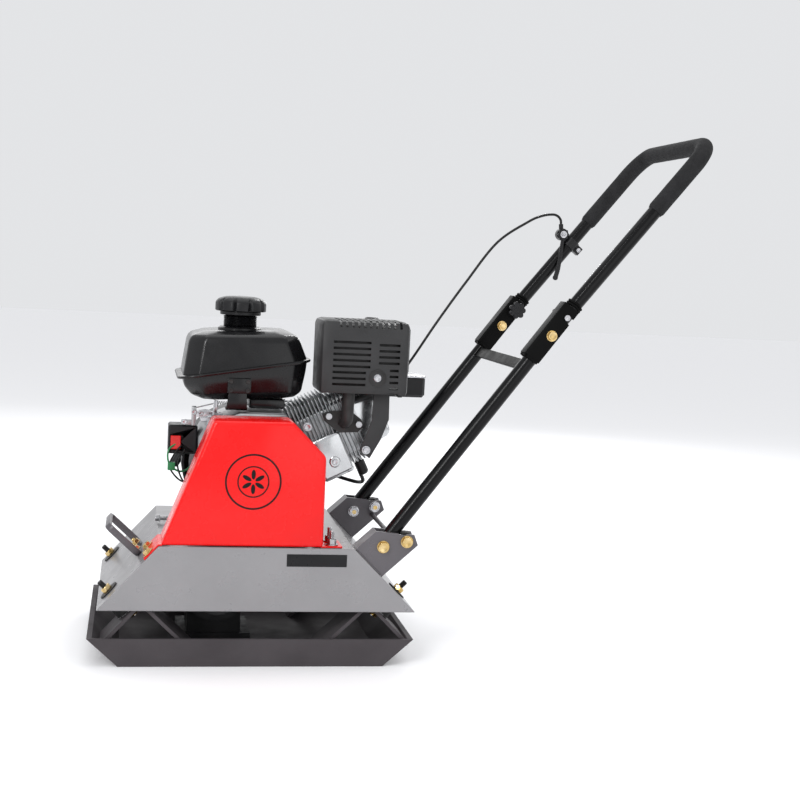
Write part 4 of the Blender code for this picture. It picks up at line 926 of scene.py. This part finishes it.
def throttle_details():
    """The bolt through the clamp's ears, the lever with its hub and rounded tip, and its pivot screw."""
    ear = upper_frame(CLAMP_AHEAD, 0.02, TUBE_Y)
    clamp_bolt = [
        hex_head(ear - FAR_OUT * 0.0075, -FAR_OUT, 0.008, 0.004),
        hex_head(ear + FAR_OUT * 0.0075, FAR_OUT, 0.008, 0.005, both_ends=True),
    ]
    add("clamp_bolt", clamp_bolt, "bright_zinc", "handle_upper")
    pivot = upper_frame(CLAMP_AHEAD + 0.001, -0.0265, TUBE_Y - 0.008)
    hub_y = pivot.y - 0.0063
    arm_y = hub_y - 0.00325
    tip = Vector((0.604, arm_y - 0.0018, 0.6895))
    lobes = [0.0108 + 0.001 * cos(8 * 2 * pi * i / 96) for i in range(96)]
    shrunk = [radius * 0.93 for radius in lobes]
    levels = [(shrunk, 0), (lobes, 0.0008), (lobes, 0.0056), (shrunk, 0.0064)]
    hub = turned(levels, (pivot.x, hub_y, pivot.z), (0, -1, 0))
    route = [
        (pivot.x, arm_y, pivot.z),
        (pivot.x - 0.003, arm_y, pivot.z - 0.038),
        (0.6085, arm_y - 0.001, 0.708),
        tip,
    ]
    path = smooth_curve(route, 10)
    sizes = [0.8 + 0.35 * min(1.0, i / 20) for i in range(len(path))]
    blade = sweep(path, flat_bar(0.0078, 0.0044, 0.0014), (0, 1, 0), sizes)
    end = lathe(symmetric([(0.0001, -0.0024), (0.004, -0.0024), (0.0052, -0.0012)]), tip, (0, 1, 0), 40)
    add("throttle_lever_blade", [hub, blade, end], "black_plastic", "throttle_control", ["throttle_lever"])
    screw = [
        washer(pivot - FAR_OUT * 0.013, -FAR_OUT, 0.0015, 0.0068, 0.0009),
        hex_head(pivot - FAR_OUT * 0.0138, -FAR_OUT, 0.008, 0.0036),
    ]
    add("lever_screw", screw, "bright_zinc", "throttle_control")


# Engine.


def rounded_ring(left, right, near, far, z):
    """A round-cornered rectangle at the tank's seam, whose height rises along X with the seam."""
    outline = rounded_rectangle(left, right, near, far, 0.03, 9)
    return [Vector((x, y, z + TANK_SEAM_SLOPE * x)) for x, y in outline]


def tank_level(left, right, near, far, corner, low, slope):
    """A rectangle with cut corners, whose height rises along X with the slope."""
    points = [
        (left + corner, near),
        (right - corner, near),
        (right, near + corner),
        (right, far - corner),
        (right - corner, far),
        (left + corner, far),
        (left, far - corner),
        (left, near + corner),
    ]
    return [Vector((x, y, low + slope * x)) for x, y in points]


def tank_seam():
    """The rolled seam between the tank's shells."""
    rim = [(0.0, -0.003), (0.0045, -0.003), (0.0088, -0.0022), (0.01, 0.0)]
    rim += [(0.0088, 0.0022), (0.0045, 0.003), (0.0, 0.003)]
    rings = []
    for out, up in rim:
        sides = (-0.131 - out, 0.089 + 0.5 * out, -0.087 - 0.7 * out, 0.113 + 0.7 * out)
        rings.append(rounded_ring(*sides, TANK_SEAM_Z + up))
    for up in (0.003, -0.003):
        rings.append(rounded_ring(-0.12, 0.078, -0.076, 0.102, TANK_SEAM_Z + up))
    return loft(rings, closed=True)


def tank():
    """The pressed fuel tank: two faceted shells, the seam between them, and the threaded neck."""
    levels = [
        tank_level(-0.092, 0.069, -0.064, 0.09, 0.02, 0.4485, 0.055),
        tank_level(-0.114, 0.081, -0.079, 0.105, 0.024, 0.4585, 0.06),
        tank_level(-0.128, 0.087, -0.086, 0.112, 0.026, TANK_SEAM_Z - 0.019, TANK_SEAM_SLOPE * 0.9),
        tank_level(-0.131, 0.089, -0.087, 0.113, 0.026, TANK_SEAM_Z, TANK_SEAM_SLOPE),
        tank_level(-0.122, 0.075, -0.081, 0.107, 0.026, 0.5525, 0.035),
        tank_level(-0.116, 0.068, -0.076, 0.102, 0.024, 0.562, 0.035),
        tank_level(-0.092, 0.05, -0.054, 0.082, 0.022, 0.569, 0.035),
    ]
    shells = softened(loft(levels), 0.0045, 3, sharper_than=7)
    neck = [(0.03, 0.561)]
    for i in range(7):
        neck += [(0.0292, 0.574 + i * 0.0026), (0.031, 0.5753 + i * 0.0026)]
    neck += [(0.0292, 0.5925), (0.0262, 0.5933)]
    collar = [(0.04, 0.56), (0.04, 0.5705), (0.036, 0.5735), (0.03, 0.574)]
    turned_parts = [lathe(profile, TANK_CAP, (0, 0, 1), 64) for profile in (collar, neck)]
    add("tank_shells", [shells, tank_seam(), *turned_parts], "tank_black", replaces=["fuel_tank"])


def tank_cap():
    """The filler cap: a dome over a skirt of broad grip lobes, with a retaining ring below."""
    lobes = 10
    steps = lobes * 24
    wave = [-max(0.0, cos(2 * pi * lobes * i / steps)) ** 6 for i in range(steps)]
    # Each level is a radius, the depth of the hollows in it, and its height.
    levels = [(0.034, 0.0, 0.6008), (0.0446, 0.0044, 0.601), (0.046, 0.0052, 0.6022)]
    levels += [(0.046, 0.0052, 0.615), (0.0448, 0.0046, 0.618), (0.0425, 0.0026, 0.6208)]
    levels += [(0.0392, 0.0006, 0.6234), (0.034, 0.0, 0.6256), (0.027, 0.0, 0.6272)]
    levels += [(0.015, 0.0, 0.6281), (0.001, 0.0, 0.6284)]
    rings = [([radius + depth * value for value in wave], height) for radius, depth, height in levels]
    below = [(0.03, 0.5942), (0.036, 0.5942), (0.0368, 0.595)]
    below += [(0.0368, 0.6), (0.035, 0.6012), (0.03, 0.6012)]
    cap = [turned(rings, TANK_CAP, (0, 0, 1)), lathe(below, TANK_CAP, (0, 0, 1), 96)]
    add("filler_cap", cap, "black_plastic", "tank_cap", ["fuel_cap"])


def tank_bracket():
    """The bolted patch that carries the tank's near side, the leg below it, and the rear block."""
    face = -0.0885
    leg = [(-0.055, 0.43), (-0.017, 0.43), (-0.019, 0.461), (-0.05, 0.461)]
    parts = [
        soft_box((-0.053, face - 0.0018, 0.46), (-0.012, face + 0.006, 0.486), 0.0008),
        soft_plate(leg, face + 0.0005, face + 0.003, 0.0006),
        soft_box((-0.055, face + 0.0005, 0.43), (-0.017, -0.05, 0.433), 0.0006),
    ]
    add("tank_bracket", parts, "tank_black")
    bolts = []
    for x in (-0.0475, -0.0175):
        for z in (0.465, 0.481):
            bolts.append(hex_bolt((x, face - 0.0016, z), (0, -1, 0), 0.006, 0.0042, 0.0044))
    add("tank_bracket_bolts", bolts, "exhaust_steel")
    add("tank_rear_bracket", soft_box((-0.012, -0.06, 0.431), (0.052, 0.03, 0.448), 0.004), "tank_black")


def exhaust_details():
    """Guard bolt in its dished seat, which is painted dark as the shade of its recess, outlet tab, flange
    nuts and the strap that braces the muffler.
    """
    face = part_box("muffler_guard")[0].y
    seat_at = Vector((0.2095, face + 0.0012, 0.497))
    dish = [(0.005, 0.0001), (0.007, 0.0004), (0.0135, 0.0022)]
    dish += [(0.0155, 0.0022), (0.016, 0.0002), (0.016, 0)]
    # The seat takes the dark exhaust_steel finish as painted shade, standing in for the shadow in the recess
    # round the bolt.
    add("muffler_guard_seat_painted_shade", lathe(dish, seat_at, NEAR_OUT, 64), "exhaust_steel")
    bolts = [
        hex_bolt(seat_at + NEAR_OUT * 0.0004, NEAR_OUT, 0.01, 0.0055, 0.0068),
        hex_bolt((0.131, -0.0645, 0.422), NEAR_OUT, 0.011, 0.008),
        hex_bolt((0.186, -0.0645, 0.409), NEAR_OUT, 0.011, 0.008),
    ]
    add("exhaust_bolts", bolts, "bright_zinc")
    strap = [(0.2087, 0.478), (0.2366, 0.478), (0.2379, 0.4214), (0.225, 0.385)]
    strap += [(0.2059, 0.3497), (0.1865, 0.363), (0.196, 0.3888), (0.2065, 0.4185)]
    add("muffler_strap", soft_plate(strap, -0.087, -0.083, 0.0012), "muffler_paint")
    bolt = hex_bolt((0.1985, -0.087, 0.365), NEAR_OUT, 0.01, 0.006, 0.0078)
    add("muffler_strap_bolt", bolt, "bright_zinc")
    tab = soft_box((0.256, -0.06, 0.459), (0.2655, -0.03, 0.47), 0.002)
    add("muffler_outlet_tab", tab, "muffler_paint")


def engine_bolts():
    """The crankcase cover's bolts, those of the engine's feet, and the oil drain plug."""
    cover_face = -0.097
    on_cover = [(-0.088, 0.226), (0.0, 0.224), (0.092, 0.226), (0.108, 0.29)]
    on_cover += [(0.09, 0.405), (0.02, 0.415), (-0.075, 0.402), (-0.09, 0.32)]
    bolts = [hex_bolt((x, cover_face, z), NEAR_OUT, 0.01, 0.006, 0.0078) for x, z in on_cover]
    for y in (-0.055, 0.04):
        for x in (-0.112, 0.106):
            bolts.append(hex_bolt((x, y, 0.2195), (0, 0, 1), 0.012, 0.008, 0.0095))
    add("engine_bolts", bolts, "bright_zinc")
    drain = [
        rod((-0.1175, 0.02, 0.2155), (-0.162, 0.02, 0.2155), 0.0042),
        washer((-0.16, 0.02, 0.2155), (-1, 0, 0), 0.003, 0.007, 0.0014),
        hex_head((-0.1614, 0.02, 0.2155), (-1, 0, 0), 0.011, 0.0072),
    ]
    add("oil_drain_plug", drain, "steel")


def block_level(along, bottom, top, near, far, corner):
    """A rectangle square to the cylinder's axis, with rounded corners."""
    outline = rounded_rectangle(bottom, top, near, far, corner, 4)
    return [engine_point(along, above, y) for above, y in outline]


def finned_block(start, end, fins, core, reach, thickness):
    """A block along the cylinder's axis with thin rounded fins round it."""
    pitch = (end - start) / fins
    rings = [block_level(start, *core, 0.008)]
    for i in range(fins):
        low = start + pitch * (i + 0.5) - thickness / 2
        high = low + thickness
        edge = thickness * 0.3
        slim = [reach[0] + edge, reach[1] - edge, reach[2] + edge, reach[3] - edge]
        rings.append(block_level(low - thickness * 0.25, *core, 0.008))
        rings.append(block_level(low, *slim, 0.012))
        rings.append(block_level(low + edge, *reach, 0.012))
        rings.append(block_level(high - edge, *reach, 0.012))
        rings.append(block_level(high, *slim, 0.012))
        rings.append(block_level(high + thickness * 0.25, *core, 0.008))
    rings.append(block_level(end, *core, 0.008))
    return loft(rings)


def cylinder_and_head():
    """The barrel and head with their thin fins, and the polished box on the barrel's side."""
    core, reach = (-0.05, 0.045, -0.04, 0.036), (-0.078, 0.074, -0.058, 0.052)
    barrel = finned_block(0.1103, 0.185, 11, core, reach, 0.0021)
    add("cylinder_fins", barrel, "cast_aluminium", replaces=["cylinder"])
    levels = [block_level(along, -0.08, 0.002, -0.06, -0.028, 0.009) for along in (0.126, 0.1848)]
    chest = softened(loft(levels), 0.005, 4)
    boss = [(0.0105, 0), (0.0105, 0.001), (0.009, 0.0022), (0.007, 0.0024)]
    boss = lathe(boss, engine_point(0.156, -0.05, -0.0598), (0, -1, 0))
    add("barrel_side_box", [chest, boss], "polished_aluminium")
    bolt = hex_bolt(engine_point(0.156, -0.05, -0.062), (0, -1, 0), 0.008, 0.0045, 0.0056)
    add("side_box_bolt", bolt, "bright_zinc")
    core, reach = (-0.056, 0.05, -0.05, 0.046), (-0.07, 0.066, -0.058, 0.054)
    head = finned_block(0.1853, 0.221, 5, core, reach, 0.0023)
    add("head_fins", head, "cast_aluminium", replaces=["cylinder_head"])


def rocker_cover():
    """The rocker cover's pressing, which narrows in steps, and its four bolts."""
    levels = [
        block_level(0.2213, -0.058, 0.046, -0.052, 0.048, 0.012),
        block_level(0.2268, -0.058, 0.046, -0.052, 0.048, 0.012),
        block_level(0.2274, -0.053, 0.041, -0.047, 0.043, 0.013),
        block_level(0.264, -0.051, 0.039, -0.045, 0.041, 0.014),
        block_level(0.271, -0.048, 0.036, -0.042, 0.038, 0.014),
        block_level(0.2742, -0.043, 0.031, -0.037, 0.033, 0.013),
        block_level(0.275, -0.037, 0.025, -0.031, 0.027, 0.012),
    ]
    add("rocker_cover_pressing", loft(levels), "polished_aluminium", replaces=["rocker_cover"])
    bolts = []
    for above in (-0.052, 0.04):
        for y in (-0.046, 0.042):
            bolts.append(hex_bolt(engine_point(0.2274, above, y), CYLINDER_AXIS, 0.008, 0.005, 0.0056))
    add("rocker_cover_bolts", bolts, "bright_zinc")


def governor_linkage():
    """The governor's arm, rod and spring on top of the crankcase, under the tank."""
    y = -0.05
    wire_y = y - 0.0028
    plate = [(-0.105, 0.412), (-0.06, 0.412), (-0.056, 0.42), (-0.088, 0.426), (-0.106, 0.423)]
    arm = [(-0.076, 0.406), (-0.069, 0.406), (-0.066, 0.442), (-0.074, 0.444)]
    parts = [
        soft_plate(plate, y, y + 0.0025, 0.0006),
        soft_plate(arm, y - 0.004, y - 0.0015, 0.0006),
        soft_box((-0.096, y + 0.003, 0.403), (-0.06, y + 0.03, 0.415), 0.002),
    ]
    add("governor_plates", parts, "bright_zinc")
    coils = []
    for i in range(140):
        angle = 2 * pi * i / 10
        side = wire_y + 0.0026 * cos(angle)
        coils.append(Vector((-0.069 + 0.0004 * i, side, 0.4385 + 0.0026 * sin(angle))))
    wires = [
        sweep(coils, circle(0.0006, 8), (0, 0.3, 0.95)),
        rod((-0.104, wire_y, 0.429), (-0.068, wire_y, 0.4385), 0.0011, 12),
        rod((-0.013, wire_y, 0.4385), (0.042, wire_y, 0.437), 0.0011, 12),
    ]
    add("governor_spring", wires, "steel")
    screws = [
        hex_bolt((-0.072, y - 0.004, 0.412), NEAR_OUT, 0.007, 0.0045, 0.0052),
        hex_bolt((-0.096, y, 0.418), NEAR_OUT, 0.006, 0.004, 0.0046),
    ]
    add("governor_screws", screws, "bright_zinc")


def recoil_cover():
    """The recoil starter's cover: a turned pressing with a ring of cooling slots and its screws."""
    outside = [(0.0001, 0.168), (0.03, 0.168), (0.033, 0.1668), (0.06, 0.1668), (0.064, 0.168)]
    outside += [(0.0735, 0.1676), (0.08, 0.164), (0.0835, 0.158), (0.085, 0.148), (0.085, 0.1325)]
    inside = [(0.0825, 0.1325), (0.082, 0.156), (0.078, 0.1625), (0.07, 0.165), (0.0001, 0.165)]
    cover = lathe(outside + inside, CRANK, (0, 1, 0), 96)
    slots = []
    for i in range(16):
        out, side = spoke(2 * pi * i / 16)
        start, end, half = CRANK + out * 0.038, CRANK + out * 0.056, side * 0.0028
        corners = [start - half, end - half * 1.5, end + half * 1.5, start + half]
        slots.append(extruded([corner + Vector((0, 0.16, 0)) for corner in corners], (0, 0.02, 0)))
    add("recoil_shell", cut(cover, together(*slots)), "black_plastic", replaces=["recoil_cover"])
    screws = []
    for angle in (45, 135, 225, 315):
        centre = CRANK + spoke(radians(angle))[0] * 0.094 + Vector((0, 0.132, 0))
        screws.append(hex_bolt(centre, (0, 1, 0), 0.009, 0.0055, 0.0068))
    add("recoil_screws", screws, "bright_zinc")


def fan_shell():
    """The turned shell round the flywheel's fan."""
    shell = [(0.1035, 0.0625), (0.108, 0.0625), (0.108, 0.126), (0.106, 0.1305), (0.102, 0.132)]
    shell += [(0.086, 0.132), (0.086, 0.129), (0.101, 0.129), (0.1035, 0.126)]
    shell = lathe(shell, CRANK, (0, 1, 0), 96, hollow=True)
    add("fan_shell", shell, "black_plastic", replaces=["fan_housing"])


def intake_details():
    """Ribs, wing bolt and seal strip on the air cleaner, the float bowl and screws on the carburettor."""
    ribs = []
    for i in range(7):
        x = 0.175 + i * 0.0175
        ribs.append(soft_box((x - 0.0016, 0.1325, 0.5), (x + 0.0016, 0.1342, 0.574), 0.0005))
    add("air_cleaner_ribs", ribs, "black_plastic")
    knob = [(0.013, 0.5878), (0.014, 0.589), (0.014, 0.5945), (0.011, 0.5968), (0.001, 0.597)]
    add("air_cleaner_knob", lathe(knob, (0.228, 0.0965, 0), (0, 0, 1), 48), "black_plastic")
    bowl = [(0.018, 0.405), (0.019, 0.404), (0.019, 0.388), (0.015, 0.382), (0.004, 0.38)]
    add("float_bowl", lathe(bowl, (0.191, 0.083, 0), (0, 0, 1), 48), "cast_aluminium")
    screws = [
        hex_bolt((0.191, 0.083, 0.38), (0, 0, -1), 0.008, 0.005),
        hex_bolt((0.175, 0.1098, 0.44), (0, 1, 0), 0.006, 0.0035),
    ]
    add("carburetor_screws", screws, "yellow_zinc")
    strip = soft_box((0.15, 0.057, 0.4865), (0.331, 0.1355, 0.4905), 0.0012)
    add("air_cleaner_seal_strip", strip, "bright_zinc")


def wire(points, radius):
    return sweep(evened(smooth_curve(points), 0.003), circle(radius, 12), (0, 1, 0))


def electrics():
    """The switch's wires with a connector, and the plug's lead."""
    switch_wires = [
        [(-0.128, -0.046, 0.36), (-0.14, -0.052, 0.345), (-0.148, -0.05, 0.322)],
        [(-0.122, -0.046, 0.352), (-0.134, -0.056, 0.33), (-0.128, -0.058, 0.305)],
    ]
    switch_wires[0] += [(-0.134, -0.04, 0.3), (-0.118, -0.02, 0.29), (-0.104, 0.0, 0.3)]
    switch_wires[1] += [(-0.112, -0.04, 0.28), (-0.101, -0.03, 0.262)]
    lead = [(0.2075, 0.02, 0.307), (0.215, 0.034, 0.29), (0.2, 0.066, 0.285)]
    lead += [(0.15, 0.088, 0.3), (0.1, 0.098, 0.335)]
    black = [wire(points, 0.0016) for points in switch_wires]
    add("engine_wires", [*black, wire(lead, 0.0035)], "cable_black")
    earth = [(-0.132, -0.044, 0.366), (-0.15, -0.05, 0.352), (-0.15, -0.054, 0.33)]
    earth += [(-0.136, -0.056, 0.316), (-0.12, -0.044, 0.314), (-0.104, -0.02, 0.324)]
    connector = soft_box((-0.1515, -0.06, 0.316), (-0.1385, -0.048, 0.33), 0.0012)
    add("earth_wire", [wire(earth, 0.0017), connector], "wire_green")


def control_pillar():
    """The small cast pillar and plate beside the governor, with their screws."""
    parts = [
        soft_box((-0.112, -0.05, 0.396), (-0.104, -0.036, 0.43), 0.001),
        soft_box((-0.13, -0.048, 0.3975), (-0.104, -0.042, 0.406), 0.001),
    ]
    add("control_pillar", parts, "cast_aluminium")
    centres = ((-0.124, -0.048, 0.402), (-0.108, -0.05, 0.42))
    screws = [hex_bolt(centre, NEAR_OUT, 0.007, 0.004, 0.005) for centre in centres]
    add("control_screws", screws, "bright_zinc")


# Cable, stage, lights and camera.


def cable_pieces():
    """The throttle cable in two lengths that meet at one point."""
    start = CABLE_TOP
    route = [
        start - Vector((0, 0, 0.0035)),
        start + Vector((-0.0012, 0, 0.0054)),
        start + Vector((-0.0075, -0.001, 0.0124)),
        start + Vector((-0.019, -0.004, 0.0152)),
        Vector((0.57, 0.157, 0.81)),
        Vector((0.5397, 0.151, 0.796)),
        CABLE_SPLIT,
        Vector((0.4209, 0.15, 0.672)),
        Vector((0.3668, 0.15, 0.591)),
        Vector((0.3187, 0.15, 0.514)),
        Vector((0.28, 0.146, 0.462)),
        Vector((0.23, 0.14, 0.441)),
        Vector((0.175, 0.129, 0.4385)),
        Vector((0.145, 0.114, 0.438)),
        Vector((0.12, 0.097, 0.438)),
    ]
    points = evened(smooth_curve(route, 16), 0.004)
    split = min(range(len(points)), key=lambda i: (points[i] - CABLE_SPLIT).length)
    section = circle(CABLE_RADIUS, 16)
    rings = swept_rings(points, section, (0, 1, 0))
    upper = piece("throttle_cable_upper", loft(rings[: split + 1]), "cable_black")
    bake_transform(upper)
    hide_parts("throttle_cable")
    lower = piece("throttle_cable_lower", loft(rings[split:]), "cable_black")
    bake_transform(lower)
    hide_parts("throttle_cable")


def stage():
    """A wide pale floor with a faint glow, so that it reads as white as a studio sweep."""
    floor_shape = bmesh.new()
    corners = [floor_shape.verts.new((x, y, 0)) for x, y in ((-14, -14), (14, -14), (14, 14), (-14, 14))]
    floor_shape.faces.new(corners)
    mesh = as_mesh(floor_shape, "floor")
    pale = bpy.data.materials.new("pale_floor")
    pale.use_nodes = True
    finish = {"Base Color": (0.9, 0.9, 0.91, 1), "Roughness": 0.85, "Specular IOR Level": 0.1}
    glow = {"Emission Color": (1, 1, 1, 1), "Emission Strength": 0.09}
    set_inputs(pale.node_tree.nodes["Principled BSDF"], {**finish, **glow})
    mesh.materials.append(pale)
    placed("floor", mesh)


def light(name, location, target, size, power, tone=(1, 1, 1)):
    data = bpy.data.lights.new(name, "AREA")
    data.shape = "RECTANGLE"
    data.size, data.size_y = size
    data.energy = power
    data.color = tone
    item = placed(name, data)
    item.location = location
    item.rotation_euler = (Vector(target) - Vector(location)).to_track_quat("-Z", "Y").to_euler()


def studio():
    middle = (0.15, 0, 0.4)
    light("key", (-1.9, -2.6, 2.3), middle, (1.4, 1.4), 26)
    light("front_fill", (1.6, -3.2, 1.0), middle, (2.2, 1.8), 10)
    light("top", (0.2, 0.3, 3.0), middle, (3.0, 2.2), 22)
    light("rear_fill", (0.4, 3.0, 1.8), middle, (2.6, 1.8), 16)
    light("rim", (3.0, 0.6, 1.6), middle, (1.0, 2.0), 10)
    light("strip_front", (-1.4, -2.4, 1.9), (0.4, 0, 0.5), (0.1, 2.4), 20)
    light("strip_rear", (1.2, 2.6, 1.9), (0.3, 0, 0.5), (0.1, 2.4), 16)
    world = bpy.data.worlds.new("studio")
    bpy.context.scene.world = world
    world.use_nodes = True
    background = world.node_tree.nodes["Background"]
    set_inputs(background, {"Color": (0.94, 0.95, 0.97, 1), "Strength": 0.82})


def camera():
    """The camera: on the belt guard's side, a little towards the front and above the deck."""
    azimuth = radians(-10.681)
    elevation = radians(5.419)
    roll = radians(2.907)
    level = Vector((cos(azimuth), sin(azimuth), 0))
    away = cos(elevation)
    back = Vector((sin(azimuth) * away, -cos(azimuth) * away, sin(elevation)))
    upright = level.cross(-back)
    right = level * cos(roll) + upright * sin(roll)
    up = upright * cos(roll) - level * sin(roll)
    data = bpy.data.cameras.new("camera")
    data.sensor_width = 36.0
    data.lens = 63.76
    item = placed("camera", data)
    turn = Matrix((right, up, back)).transposed().to_4x4()
    item.matrix_world = Matrix.Translation((-0.2141, -2.5799, 0.6981)) @ turn
    bpy.context.scene.camera = item


bpy.context.scene.view_settings.view_transform = "Standard"
camera()
stage()
studio()
finish_packed_nodes()
isolators()
lifting_loop()
guard_emblem()
guard_fasteners()
label_plate()
deck_welds()
bracket_bolts()
lower_half()
crossbar()
upper_half()
upper_tube_welds()
fold_hardware()
throttle_details()
cable_pieces()
tank()
tank_cap()
tank_bracket()
exhaust_details()
engine_bolts()
cylinder_and_head()
rocker_cover()
governor_linkage()
recoil_cover()
fan_shell()
intake_details()
electrics()
control_pillar()
